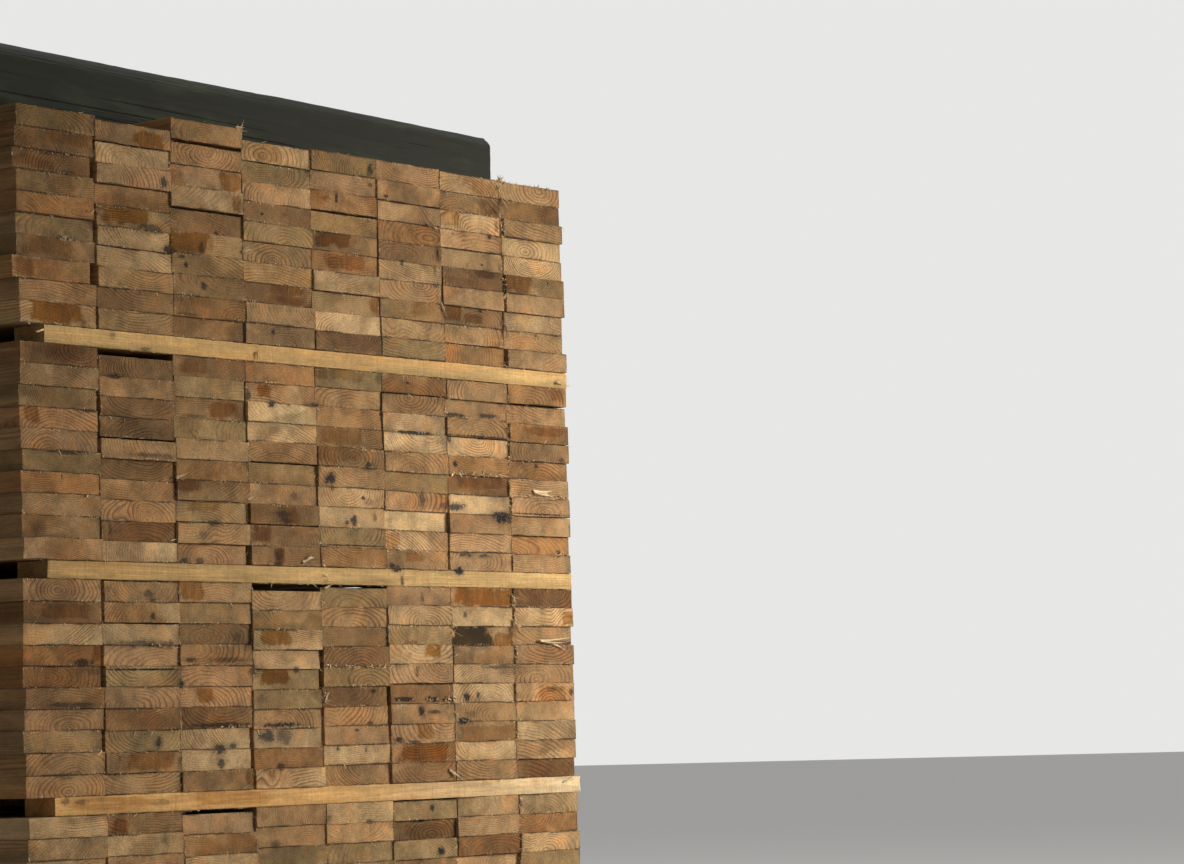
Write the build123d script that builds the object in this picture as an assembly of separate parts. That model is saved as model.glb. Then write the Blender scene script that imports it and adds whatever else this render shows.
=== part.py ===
from build123d import *
from math import atan, degrees, hypot, sqrt
from random import Random
import os

# A package of rough sawn boards in four tiers, with laths between the tiers, on three
# bearers, with three more bearers on top and steel straps round it. Millimetres.
# X runs across the package, Y along the boards (front end at -Y), Z up from the floor.
# Tiers and courses are counted from the floor up, columns from -X to +X.

# Boards
board_length = 3000.0
board_width = 125.0
board_thickness = 25.0
side_gap = 1.0              # nominal gap between two columns
columns = 8
courses = 10
tiers = 4

# Laths between the tiers
lath_length = 972.0
lath_width = 50.0
lath_thickness = 22.0
laths_per_level = 5

# Bearers under and on top of the package: cants sawn from a log just too thin for square edges
bearer_overhang = 0.5       # past the package's nominal width, each side
bearer_width = 100.0
bearer_height = 88.0
bearer_setback = 120.0      # from the boards' ends to the first bearer's face
wane_thick_end = 4.6        # how far the log's surface stays inside the cant's corners
wane_thin_end = 10.6
log_offset = 3.0            # log's centre below the cant's, so that the top has more wane

# Steel straps and their crimped seals
strap_width = 19.0
strap_thickness = 0.8
strap_end_distance = 260.0  # from the boards' ends to the first strap's middle
strap_spacing = 720.0       # from the first strap to the next, towards the middle
seal_length = 38.0
seal_wall = 1.0
crimp_radius = 2.6
crimp_spacing = 14.0

# How much the sawmill's boards differ from each other
thickness_spread = 0.035    # share of a board's thickness
width_spread = 1.6
place_spread = 0.25
outer_spread = 3.5          # outer columns also stand out sideways by up to this much
front_spread = 2.5
back_spread = 8.0
lath_place_spread = 9.0

# A sprung board lies flat but for this length at its front, which rises in one arc
spring_length = 600.0

# How far a column's front stands above (+) or below (-) the level of its tier
column_rise = {
    (4, 1): 3.0, (4, 2): -2.0, (4, 3): 15.0, (4, 4): 1.5, (4, 5): 3.5, (4, 6): 3.0, (4, 7): 1.0,
    (3, 2): -8.0, (3, 7): -1.0,
    (2, 2): -1.0, (2, 4): -9.0, (2, 5): -3.5,
    (1, 3): -5.0, (1, 6): -1.5,
}

# Gap that opens at the front under a sprung board: tier, column, course
front_gap = {
    (4, 2, 10): 1.0, (4, 2, 8): 0.8, (4, 2, 5): 0.6, (4, 3, 10): 4.0, (4, 3, 7): 2.5,
    (4, 4, 10): 1.2, (4, 4, 3): 0.7, (4, 5, 8): 2.5, (4, 5, 4): 1.0, (4, 6, 9): 1.2,
    (4, 6, 3): 0.8, (4, 7, 7): 1.0, (4, 7, 2): 1.0,
    (3, 2, 7): 2.0, (3, 3, 3): 1.0, (3, 4, 6): 1.2, (3, 4, 3): 1.2, (3, 6, 10): 1.2,
    (3, 7, 8): 1.2, (3, 8, 10): 2.0, (3, 8, 8): 0.8, (3, 8, 4): 1.0,
    (2, 2, 9): 1.2, (2, 6, 6): 1.2,
}

# Boards that lie out of their column by this much sideways
sideways = {(4, 1, 3): -9.0, (4, 1, 8): -5.0, (4, 1, 9): -3.0, (2, 1, 3): -6.0, (1, 8, 4): 5.0}

# Boards sawn this much narrower, which leaves a dark gap on their right
narrower = {
    (4, 1, 2): 1.0, (4, 1, 1): 1.0, (4, 2, 5): 3.0, (4, 4, 8): 1.5, (4, 4, 7): 1.5, (4, 4, 3): 2.5,
    (4, 5, 10): 1.5, (4, 6, 9): 1.0, (4, 6, 8): 1.5, (4, 6, 7): 1.0, (4, 6, 6): 1.5, (4, 6, 4): 1.5,
    (4, 7, 6): 1.5, (4, 7, 5): 2.0, (4, 7, 4): 2.0, (4, 7, 3): 1.5, (4, 7, 2): 1.5, (4, 7, 1): 1.5,
    (3, 2, 7): 2.0, (3, 2, 2): 1.5, (3, 3, 9): 3.5, (3, 3, 1): 4.0, (3, 4, 6): 1.5, (3, 4, 4): 1.5,
    (3, 6, 9): 1.5, (3, 6, 8): 1.5, (3, 6, 5): 2.0, (3, 6, 4): 2.5, (3, 6, 3): 2.0, (3, 6, 2): 1.5,
    (3, 6, 1): 4.0, (3, 7, 10): 2.0,
    (2, 3, 1): 4.0, (2, 3, 2): 3.5, (2, 3, 3): 4.5, (2, 4, 6): 3.0, (2, 4, 7): 4.0,
    (2, 5, 3): 3.0, (2, 5, 4): 4.0, (2, 5, 5): 3.0,
}

# How far the front laths reach past the package's right side, for each level
front_lath_overhang = {3: 4.0, 2: 3.0, 1: 9.0}

column_pitch = board_width + side_gap
package_width = columns * column_pitch - side_gap
tier_height = courses * board_thickness
front = -board_length / 2
bearer_length = package_width + 2 * bearer_overhang
cant_corner = hypot(bearer_width, bearer_height) / 2


def spread(*key):
    """A fixed number from -1 to 1 for each key, such as a board's place in the package."""
    return Random(" ".join(str(part) for part in key)).uniform(-1.0, 1.0)


def tier_bottom(tier):
    """Height of the underside of a tier: bearers, then tiers with a lath between them."""
    return bearer_height + (tier - 1) * (tier_height + lath_thickness)


def arc_rise(lift, y):
    """Rise at y of an arc that starts level at the spring length and rises by lift at the end."""
    run = front + spring_length - y
    if lift <= 0 or run <= 0:
        return 0.0
    radius = (spring_length ** 2 + lift ** 2) / (2 * lift)
    return radius - sqrt(radius ** 2 - run ** 2)


def column_boards(tier, column):
    """The boards of one column, from the bottom up, each with its place, size and lift."""
    gaps = [front_gap.get((tier, column, course), 0.0) for course in range(1, courses + 1)]
    shares = [1 + thickness_spread * spread("thickness", tier, column, course)
              for course in range(1, courses + 1)]
    timber = tier_height + column_rise.get((tier, column), 0.0) - sum(gaps)
    z = tier_bottom(tier)
    middle = (column - (columns + 1) / 2) * column_pitch
    boards = []
    for course in range(1, courses + 1):
        place = (tier, column, course)
        saw = width_spread * (1 + spread("width", *place)) / 2
        cut = narrower.get(place, 0.0)
        x = middle - cut / 2 + place_spread * spread("place", *place) + sideways.get(place, 0.0)
        outward = outer_spread * (1 + spread("outer", *place)) / 2
        if column == 1:
            x -= outward
        if column == columns:
            x += outward
        thickness = timber * shares[course - 1] / sum(shares)
        boards.append({
            "left": x - (board_width - saw - cut) / 2,
            "right": x + (board_width - saw - cut) / 2,
            "front": front + front_spread * spread("front", *place),
            "back": -front + back_spread * spread("back", *place),
            "bottom": z,
            "thickness": thickness,
            "gaps": [gap for gap in gaps[:course] if gap > 0],
        })
        z += thickness
    return boards


def height_at(board, y):
    """Height of a board's underside at y: where it lies flat, and the rise of its arcs."""
    return board["bottom"] + arc_rise(sum(board["gaps"]), y)


def flat_board(board):
    """A straight board."""
    return Box(board["right"] - board["left"], board["back"] - board["front"],
               board["thickness"], align=Align.MIN).moved(
                   Location((board["left"], board["front"], board["bottom"])))


def sprung_board(board):
    """A board that lies flat but for its front, which rises in one arc, cut off upright."""
    lift = sum(board["gaps"])
    bend = front + spring_length
    tip = board["bottom"] + arc_rise(lift, board["front"])
    low, high = board["bottom"], board["bottom"] + board["thickness"]
    under = TangentArc((bend, low), (board["front"], tip), tangent=(-1, 0))
    over = TangentArc((bend, high), (board["front"], tip + board["thickness"]), tangent=(-1, 0))
    end = Line(under @ 1, over @ 1)
    straight = Polyline((bend, high), (board["back"], high), (board["back"], low), (bend, low))
    side = make_face([under, end, over, straight])
    return extrude(Plane.YZ.offset(board["left"]) * side, board["right"] - board["left"])


def course_of_boards(tier, course):
    """One course: a board from each column, side by side with a gap between them."""
    row = [package[tier, column][course - 1] for column in range(1, columns + 1)]
    return Compound([sprung_board(b) if b["gaps"] else flat_board(b) for b in row])


def lath(level, row):
    """A lath across the package at one level, its end rows flush with the boards' ends."""
    reach = board_length / 2 - lath_width / 2
    y = reach * (2 * (row - 1) / (laths_per_level - 1) - 1)
    right = package_width / 2 + lath_place_spread * spread("lath", level, row)
    if row == 1:
        right = package_width / 2 + front_lath_overhang.get(level, 0.0)
    z = tier_bottom(level + 1) - lath_thickness
    return Box(lath_length, lath_width, lath_thickness,
               align=(Align.MAX, Align.CENTER, Align.MIN)).moved(Location((right, y, z)))


def bearer():
    """A cant with wane: what a square section and a tapered log have in common."""
    log = Cone(cant_corner - wane_thin_end, cant_corner - wane_thick_end, bearer_length,
               rotation=(0, 90, 0))
    cant = Box(bearer_length, bearer_width, bearer_height,
               align=(Align.CENTER, Align.CENTER, Align.MIN))
    return cant & log.moved(Location((0, 0, bearer_height / 2 - log_offset)))


def bearer_places():
    """Y of the front, middle and rear bearers."""
    reach = board_length / 2 - bearer_setback - bearer_width / 2
    return {"front": -reach, "middle": 0.0, "rear": reach}


def top_bearer(y):
    """A bearer on the uneven top: it rests on the highest column and leans down to the right
    until it meets another column there."""
    face = y - bearer_width / 2
    tops = [(b["right"], height_at(b, face) + b["thickness"])
            for b in (package[tiers, column][-1] for column in range(1, columns + 1))]
    seat_x, seat_z = max(tops, key=lambda top: top[1])
    slope = min((seat_z - z) / (x - seat_x) for x, z in tops if x > seat_x)
    lean = Location((0, 0, 0), (0, degrees(atan(slope)), 0))
    return bearer().moved(Location((0, y, seat_z + slope * seat_x)) * lean)


def outer_line(y):
    """The tight line round all boards at y, counter-clockwise: their convex hull."""
    corners = sorted({(x, z) for boards in package.values() for b in boards
                      for x in (b["left"], b["right"])
                      for z in (height_at(b, y), height_at(b, y) + b["thickness"])})

    def half(points):
        line = []
        for p in points:
            while len(line) > 1 and turn(line[-2], line[-1], p) <= 0:
                line.pop()
            line.append(p)
        return line[:-1]

    return half(corners) + half(reversed(corners))


def turn(a, b, c):
    """Twice the area of triangle abc: positive where the path turns left at b."""
    return (b[0] - a[0]) * (c[1] - a[1]) - (b[1] - a[1]) * (c[0] - a[0])


def strap(y):
    """A strap pulled tight round the boards."""
    inner = make_face(Polyline(*outer_line(y - strap_width / 2), close=True))
    ring = offset(inner, strap_thickness, kind=Kind.ARC) - inner
    return extrude(Plane.XZ.offset(-y - strap_width / 2) * ring, strap_width)


def seal(y):
    """A crimped seal folded round the strap's outer face and edges, on the left side."""
    line = outer_line(y - strap_width / 2)
    runs = [(a, b) for a, b in zip(line, line[1:] + line[:1])
            if max(a[0], b[0]) < -package_width / 4 and a[1] > b[1]]
    top, bottom = max(runs, key=lambda run: hypot(run[0][0] - run[1][0], run[0][1] - run[1][1]))
    middle = ((top[0] + bottom[0]) / 2, y, (top[1] + bottom[1]) / 2)
    along = (top[0] - bottom[0], 0, top[1] - bottom[1])
    section = Rectangle(strap_width + 2 * seal_wall, strap_thickness + seal_wall,
                        align=(Align.CENTER, Align.MIN))
    section -= Rectangle(strap_width, strap_thickness, align=(Align.CENTER, Align.MIN))
    body = extrude(section, seal_length / 2, both=True)
    for side in (-1, 1):
        for step in (-1, 1):
            notch = Cylinder(crimp_radius, 4 * seal_wall, rotation=(90, 0, 0)).moved(
                Location((side * (strap_width / 2 + seal_wall + crimp_radius / 2), strap_thickness,
                          step * crimp_spacing / 2)))
            body -= notch
    return body.moved(Plane(origin=middle, x_dir=(0, 1, 0), z_dir=along).location)


package = {(tier, column): column_boards(tier, column)
           for tier in range(1, tiers + 1) for column in range(1, columns + 1)}

os.makedirs("parts", exist_ok=True)

for tier in range(1, tiers + 1):
    for course in range(1, courses + 1):
        export_step(course_of_boards(tier, course), f"parts/tier_{tier}_course_{course:02d}.step")

for row in range(1, laths_per_level + 1):
    export_step(Compound([lath(level, row) for level in range(1, tiers)]), f"parts/lath_row_{row}.step")

for name, y in bearer_places().items():
    export_step(bearer().moved(Location((0, y, 0))), f"parts/bottom_bearer_{name}.step")
    export_step(top_bearer(y), f"parts/top_bearer_{name}.step")

strap_places = [side * (board_length / 2 - strap_end_distance - step * strap_spacing)
                for side in (-1, 1) for step in (0, 1)]
for number, y in enumerate(sorted(strap_places), 1):
    export_step(strap(y), f"parts/strap_{number}.step")
export_step(Compound([seal(y) for y in strap_places]), "parts/strap_seals.step")
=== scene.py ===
from math import atan2, cos, hypot, pi, radians, sin

import bpy
import numpy as np
from mathutils import Matrix, Vector


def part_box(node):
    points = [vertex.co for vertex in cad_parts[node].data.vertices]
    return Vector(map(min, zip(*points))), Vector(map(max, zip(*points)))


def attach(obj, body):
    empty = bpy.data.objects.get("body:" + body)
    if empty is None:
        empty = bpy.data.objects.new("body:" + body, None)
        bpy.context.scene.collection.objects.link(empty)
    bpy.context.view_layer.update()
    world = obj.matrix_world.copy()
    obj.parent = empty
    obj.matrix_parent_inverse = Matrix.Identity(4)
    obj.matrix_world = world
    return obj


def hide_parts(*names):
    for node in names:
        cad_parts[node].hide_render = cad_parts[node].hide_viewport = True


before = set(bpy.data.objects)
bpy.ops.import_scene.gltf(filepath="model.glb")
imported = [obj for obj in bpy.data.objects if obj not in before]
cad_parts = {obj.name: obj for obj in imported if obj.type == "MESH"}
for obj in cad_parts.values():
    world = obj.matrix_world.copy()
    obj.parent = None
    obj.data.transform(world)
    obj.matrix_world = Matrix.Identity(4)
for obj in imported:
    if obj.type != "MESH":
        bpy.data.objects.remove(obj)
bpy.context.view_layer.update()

# The looks of a package of sawn boards, in metres. X runs across the package, Y along the
# boards with the front end at -Y, Z up. Tiers and courses are counted from the floor up,
# columns from -X to +X, as in the package's own node names.

# Package
tiers = 4
courses = 10
columns = 8
lath_rows = 5
closed_gap = 0.0004        # between the sides of two boards that lean together
open_gap = 0.0040          # a wider gap than this stays as it is
side_step = 0.00008        # two sides of boards that lie nearer than this are one
side_slack = 0.00005       # how far a point may lie outside the side that it is read for
height_slack = 0.0001      # the same for the height of a lath

# Sawn sticks: chamfer, how far the saw tore them, and the grid of points on an end, across and up
board_chamfer = 0.0004
board_tear = 0.00012
board_grid = (19, 3)
lath_chamfer = 0.0012
lath_tear = 0.0004
lath_grid = (9, 3)
sharp_angle = radians(32)  # a sharper edge than this isn't shaded smooth

# Where a board has points along its length, from either end: close together at the ends and in
# the front 600 mm, where a sprung board bends
from_front = np.array([0, 0.0012, 0.004, 0.012, 0.05, 0.15, 0.30, 0.45, 0.60, 1.2, 2.1])
from_back = np.array([0.02, 0.004, 0.0012, 0])

# Photograph's frame and the camera that was worked out from the package's lines in it
photo_width = 1184
photo_height = 864
focal_pixels = 3742.8
camera_place = Vector((-3.470, -4.621, 0.411))
camera_yaw = radians(52.25)
camera_pitch = radians(4.66)
camera_roll = radians(-1.66)
sensor_width = 36.0

# Log that a bearer was sawn from: its radius at the bearer's two ends, where its pith lies and
# how it bows, and how rough its skin and the sawn faces are
log_thin_radius = 0.0560
log_thick_radius = 0.0620
log_centre_share = 0.466   # of the bearer's height
log_bow = 0.008
log_swell = 0.0012
skin_roughness = 0.0004
saw_roughness = 0.00025
end_wear = 0.0006

# How far round a spot in the photograph the foremost board end is taken for its depth
front_reach = 0.13

# Wood colours, and the share of boards that draw each of the first six
tones = {
    "cream": (0.380, 0.266, 0.136),
    "tan": (0.308, 0.193, 0.090),
    "brown": (0.180, 0.099, 0.039),
    "orange": (0.288, 0.149, 0.055),
    "pink": (0.318, 0.194, 0.094),
    "olive": (0.240, 0.166, 0.074),
}
tone_shares = {"cream": 0.25, "tan": 0.24, "brown": 0.03, "orange": 0.12, "pink": 0.20, "olive": 0.16}
bearer_tone = (0.33, 0.21, 0.105)
# The top bearers' near-black tone is painted shade over weathered grey-green wood
shaded_old_bearer_tone = (0.014, 0.0155, 0.0105)
own_share, other_share = 0.78, 0.22     # of a board's own tone in its colour, and of another one

# Ranges that a board draws from: brightness, ring spacing, and how dark its late wood is
brightness = (0.92, 1.016)
second_brightness = (0.75, 1.10)
ring_spacing = (0.0018, 0.0032)
ring_depth = (0.35, 0.85)
clear_ring_depth = 0.75                 # at least this on a board whose ring centre was read
lath_ring_spacing = (0.0022, 0.0034)

# What the wood's own colour is multiplied by
reddish_tint = (1.06, 0.84, 0.66)
core_tint = (0.84, 0.66, 0.48)
murk_tint = (0.74, 0.55, 0.38)
late_wood_tint = (0.66, 0.47, 0.35)
heart_wood_tint = (0.54, 0.36, 0.13)
# Blue-black of mould stain, which also darkens the marks that are painted shadow
mould_and_shadow_tint = (0.034, 0.062, 0.155)
speckle_tint = (0.42, 0.33, 0.30)
knot_rim_tint = (0.70, 0.48, 0.32)
rot_tint = (0.13, 0.19, 0.30)
old_ring_tint = (0.55, 0.48, 0.42)

# Colours that cover the wood's own
knot_colour = (0.085, 0.036, 0.014, 1.0)
# The next two colours are painted shade with dirt along the seams of board ends
edge_dirt_and_shade_colour = (0.060, 0.042, 0.022, 1.0)
seam_grime_and_shade_colour = (0.034, 0.020, 0.010, 1.0)
# Pale torn wood on the edges of the ends, partly a painted highlight where frayed edges catch the light
torn_glint_colour = (0.62, 0.47, 0.29, 1.0)
pale_grain_colour = (0.60, 0.44, 0.26, 1.0)
moss_colour = (0.034, 0.044, 0.022, 1.0)
end_crack_colour = (0.010, 0.009, 0.008, 1.0)
face_crack_colour = (0.008, 0.008, 0.007, 1.0)

# Floor and surround: the glow and the shown colour are only for what the camera sees
floor_reach = 40.0
floor_colour = (0.72, 0.71, 0.69, 1.0)
floor_glow = (0.80, 0.79, 0.77, 1.0)
floor_glow_strength = 0.22
surround_strength = 0.18
surround_shown = (0.80, 0.80, 0.79, 1.0)

# Boards that stand out dark in the photograph: tier, column, course
dark_boards = [
    (4, 1, 9), (4, 1, 8), (4, 1, 4), (4, 2, 2), (4, 4, 3), (4, 5, 6), (4, 5, 1), (4, 7, 3), (3, 1, 10),
    (3, 1, 2), (3, 2, 7), (3, 2, 5), (3, 2, 2), (3, 3, 10), (3, 3, 8), (3, 4, 3), (3, 4, 2), (3, 4, 1),
    (3, 5, 7), (3, 5, 6), (3, 6, 9), (3, 7, 5), (3, 8, 8), (3, 8, 7), (2, 1, 9), (2, 1, 5), (2, 2, 4),
    (2, 3, 8), (2, 3, 7), (2, 5, 8), (2, 5, 7), (2, 5, 5), (2, 6, 5), (2, 6, 1), (2, 7, 3), (2, 8, 1),
    (1, 2, 10), (1, 6, 9),
]

# Brown heart wood on the front ends, read from the photograph: middle across and down,
# half width and half height in pixels, how dark, and how near it is to black rot
patches = [
    (55, 311, 25, 11, 0.85, 0), (150, 141, 14, 8, 0.75, 0), (124, 215, 23, 8, 0.8, 0),
    (189, 243, 17, 10, 0.95, 0), (206, 243, 7, 8, 0.4, 0), (176, 178, 8, 8, 0.35, 0),
    (230, 182, 10, 9, 0.6, 0), (237, 205, 4, 8, 0.6, 0), (265, 152, 14, 8, 0.4, 0),
    (334, 236, 17, 9, 0.95, 0), (345, 262, 20, 7, 0.6, 0), (484, 189, 12, 7, 0.4, 0),
    (489, 208, 8, 8, 0.45, 0), (449, 217, 10, 8, 0.5, 0), (517, 284, 14, 8, 0.7, 0),
    (487, 273, 9, 5, 0.6, 0), (450, 311, 10, 8, 0.7, 0), (474, 319, 8, 4, 0.6, 0),
    (422, 307, 10, 8, 0.35, 0), (376, 304, 6, 10, 0.6, 0), (288, 287, 14, 9, 0.6, 0),
    (290, 300, 16, 4, 0.5, 0), (70, 137, 22, 8, 0.45, 0), (30, 165, 22, 9, 0.4, 0),
    (45, 245, 24, 9, 0.45, 0), (24, 265, 8, 9, 0.4, 0), (110, 215, 9, 8, 0.5, 0),
    (62, 352, 18, 8, 0.4, 0), (194, 365, 14, 7, 0.45, 0), (264, 390, 6, 7, 0.7, 0),
    (320, 370, 6, 8, 0.6, 0), (347, 372, 16, 8, 0.35, 0), (557, 394, 6, 6, 0.5, 0),
    (340, 436, 20, 8, 0.5, 0), (335, 452, 25, 9, 0.5, 0), (480, 482, 20, 7, 0.5, 0),
    (545, 432, 18, 4, 0.5, 0), (415, 556, 8, 5, 0.5, 0), (393, 540, 7, 8, 0.5, 0),
    (223, 410, 12, 8, 0.65, 0), (280, 556, 5, 7, 0.7, 0), (190, 482, 10, 8, 0.6, 0),
    (205, 505, 15, 6, 0.45, 0), (262, 533, 8, 8, 0.6, 0), (288, 515, 9, 8, 0.5, 0),
    (32, 413, 7, 8, 0.6, 0), (40, 520, 18, 8, 0.3, 0), (25, 535, 14, 8, 0.4, 0), (66, 611, 22, 7, 0.5, 0),
    (99, 651, 6, 9, 0.6, 0), (134, 614, 25, 10, 0.45, 0), (149, 761, 26, 8, 0.6, 0),
    (192, 591, 10, 8, 0.65, 0), (206, 695, 8, 7, 0.7, 0), (276, 636, 13, 9, 0.8, 0),
    (275, 676, 12, 8, 0.85, 0), (433, 650, 8, 6, 0.8, 0), (413, 644, 5, 3, 0.5, 0),
    (425, 730, 8, 8, 0.6, 0), (425, 752, 26, 9, 0.8, 0), (485, 598, 28, 9, 0.8, 0),
    (568, 618, 5, 6, 0.6, 0), (551, 696, 15, 9, 0.5, 0), (547, 768, 25, 8, 0.3, 0),
    (252, 777, 6, 8, 0.5, 0), (471, 638, 18, 14, 1, 1), (120, 829, 8, 9, 0.7, 0),
    (432, 832, 26, 8, 0.4, 0), (490, 735, 28, 8, 0.4, 0), (245, 790, 22, 5, 0.55, 0),
    (504, 641, 9, 7, 0.6, 0), (232, 798, 30, 6, 0.4, 0), (112, 803, 34, 6, 0.35, 0),
    (436, 650, 4, 8, 0.7, 0),
]

# Blue-black stain and dirt on the front ends, read from the photograph, and painted shadow: the long thin
# lines at the end and a few dark spots stand for shade in gaps between boards. Middle across and
# down, half width and half height in pixels, and how dark
marks = [
    (50, 152, 22, 2.5, 0.5), (68, 173, 7, 2, 0.5), (71, 188, 5, 3, 0.3), (92, 223, 4, 5, 0.5),
    (66, 237, 9, 1.5, 0.5), (164, 183, 3, 6, 0.8), (149, 229, 14, 4, 0.7), (168, 250, 5, 4, 0.9),
    (182, 257, 3, 2, 0.8), (186, 265, 1.7, 2.5, 0.9), (204, 286, 3, 4, 0.8), (188, 314, 9, 1.2, 0.5),
    (370, 170, 3, 6, 0.9), (370, 185, 2, 2, 0.6), (336, 196, 1.7, 6, 0.9), (325, 198, 4, 2, 0.4),
    (386, 196, 1.7, 1.5, 0.9), (307, 171, 3, 3, 0.7), (262, 214, 1.5, 1.5, 0.8), (285, 215, 3, 2, 0.4),
    (216, 233, 1.7, 1.7, 0.7), (202, 248, 3, 5, 0.7), (321, 245, 6, 2, 0.6), (372, 235, 5, 4, 0.35),
    (489, 237, 2, 2.5, 0.9), (496, 252, 1.4, 1.2, 0.9), (453, 234, 1.4, 1.4, 0.6),
    (402, 263, 1.6, 3, 0.9), (437, 253, 2.5, 8, 0.5), (436, 286, 4, 2, 0.7), (482, 265, 1.2, 1.2, 0.8),
    (487, 274, 7, 4, 0.45), (480, 311, 1.7, 1.6, 0.9), (442, 308, 2, 5, 0.5), (273, 332, 2, 2.5, 0.9),
    (288, 327, 2, 3, 0.4), (62, 352, 20, 7, 0.2), (115, 376, 6, 2.5, 0.9), (162, 382, 4, 6, 0.3),
    (271, 404, 3.5, 3, 0.95), (289, 404, 2.4, 2.4, 0.9), (314, 405, 5, 2, 0.9), (379, 378, 3, 6, 0.5),
    (381, 414, 1.6, 5, 0.9), (408, 383, 2, 1.2, 0.9), (453, 415, 9, 2, 0.8), (487, 416, 9, 2, 0.8),
    (88, 411, 7, 1.5, 0.8), (66, 452, 19, 2, 0.75), (146, 455, 13, 2, 0.6), (168, 457, 5, 3, 0.5),
    (110, 529, 1.7, 5, 0.6), (148, 541, 6, 1.5, 0.6), (203, 535, 5, 4, 0.5), (215, 523, 5, 3, 0.7),
    (248, 395, 2.5, 5, 0.8), (194, 416, 10, 1.5, 0.5), (281, 514, 10, 3, 0.6), (287, 521, 6, 3, 0.7),
    (280, 554, 4, 6, 0.6), (184, 561, 4, 3, 0.8), (200, 561, 4, 3, 0.7), (279, 564, 4, 2, 0.8),
    (294, 496, 3, 4, 0.5), (369, 467, 4, 4, 0.9), (330, 479, 5.5, 6, 0.95), (332, 488, 2, 4, 0.6),
    (363, 498, 1.7, 1.7, 0.9), (370, 502, 6, 3, 0.4), (354, 520, 3, 5, 0.9), (347, 523, 2, 2, 0.8),
    (375, 517, 2, 4, 0.6), (414, 433, 21, 1.8, 0.95), (422, 498, 3, 8, 0.65), (445, 506, 5, 3, 0.6),
    (449, 439, 2, 4, 0.8), (455, 464, 2, 2.5, 0.9), (456, 507, 8, 4, 0.9), (502, 518, 9, 5, 1),
    (466, 554, 5, 3, 0.8), (484, 556, 6, 2, 0.8), (536, 466, 1.6, 2, 0.8), (561, 461, 3, 3, 0.7),
    (558, 554, 2, 3, 0.8), (392, 566, 3, 3, 0.9), (53, 647, 4, 3, 0.4), (83, 663, 9, 4, 0.9),
    (92, 669, 12, 5, 0.4), (43, 696, 10, 8, 0.3), (72, 705, 22, 2.5, 0.7), (64, 776, 12, 3, 0.45),
    (149, 595, 5, 4, 0.7), (153, 600, 3, 2, 0.8), (108, 589, 2, 3, 0.4), (153, 616, 2, 3, 0.8),
    (151, 644, 31, 3.5, 0.66), (181, 684, 3, 4, 0.95), (159, 743, 3.5, 6, 0.9), (206, 638, 2, 3, 0.5),
    (238, 638, 5, 4, 0.4), (190, 660, 7, 2, 0.8), (228, 660, 18, 2.5, 0.6), (248, 647, 5, 5, 0.4),
    (252, 670, 3, 7, 0.7), (223, 725, 30, 2, 0.8), (203, 728, 5, 3, 0.4), (220, 749, 5, 5, 0.9),
    (233, 746, 4, 3, 0.8), (221, 763, 4, 5, 0.8), (296, 670, 3, 3, 0.8), (261, 699, 6, 4, 0.45),
    (281, 725, 17, 2.5, 0.95), (267, 736, 8, 6, 0.85), (284, 736, 10, 7, 0.6), (281, 767, 4, 3, 0.8),
    (373, 691, 2.5, 2, 0.95), (371, 723, 3, 2, 0.8), (357, 730, 2, 1.6, 0.9), (338, 749, 1.6, 3, 0.8),
    (366, 749, 1.2, 3, 0.8), (422, 599, 1.7, 5, 0.6), (417, 672, 2, 4, 0.6), (404, 699, 9, 2, 0.9),
    (433, 699, 7, 2.5, 0.9), (450, 699, 5, 2, 0.9), (422, 711, 3, 6, 0.95), (434, 712, 6, 2, 0.8),
    (399, 740, 4, 3, 0.9), (414, 742, 6, 1.5, 0.8), (465, 614, 2, 3, 0.7), (503, 667, 17, 2, 0.7),
    (508, 671, 10, 5, 0.35), (467, 697, 3.5, 5, 0.95), (478, 695, 1.6, 3, 0.8), (464, 721, 6, 3, 1),
    (470, 715, 5, 4, 0.45), (559, 643, 15, 1.5, 0.6), (555, 689, 6, 3, 0.6), (571, 692, 2.5, 4, 0.8),
    (276, 844, 4, 4, 0.6), (327, 819, 4, 5, 0.6), (432, 807, 2.5, 4, 0.9), (418, 821, 6, 1.5, 0.9),
    (441, 851, 3, 4, 1), (521, 804, 2, 3, 0.7), (166, 838, 3, 8, 0.4), (370, 822, 3, 2, 0.7),
    (396, 569, 4, 3, 0.95), (459, 571, 4, 4, 1), (402, 580, 1.5, 5, 0.8), (112, 335, 3, 4, 0.45),
    (145, 349, 5, 2, 0.6), (66, 801, 4, 4, 0.6), (82, 802, 6, 3, 0.6), (160, 803, 8, 3, 0.4),
    (145, 669.5, 36, 0.9, 1), (471, 251, 30, 0.8, 0.9), (478, 436.5, 29, 0.8, 0.9),
    (538, 407, 28, 0.9, 0.9), (541, 514.5, 28, 0.8, 0.9), (352, 545.5, 30, 0.8, 0.9),
    (490, 552.5, 18, 0.8, 0.9),
]

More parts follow.
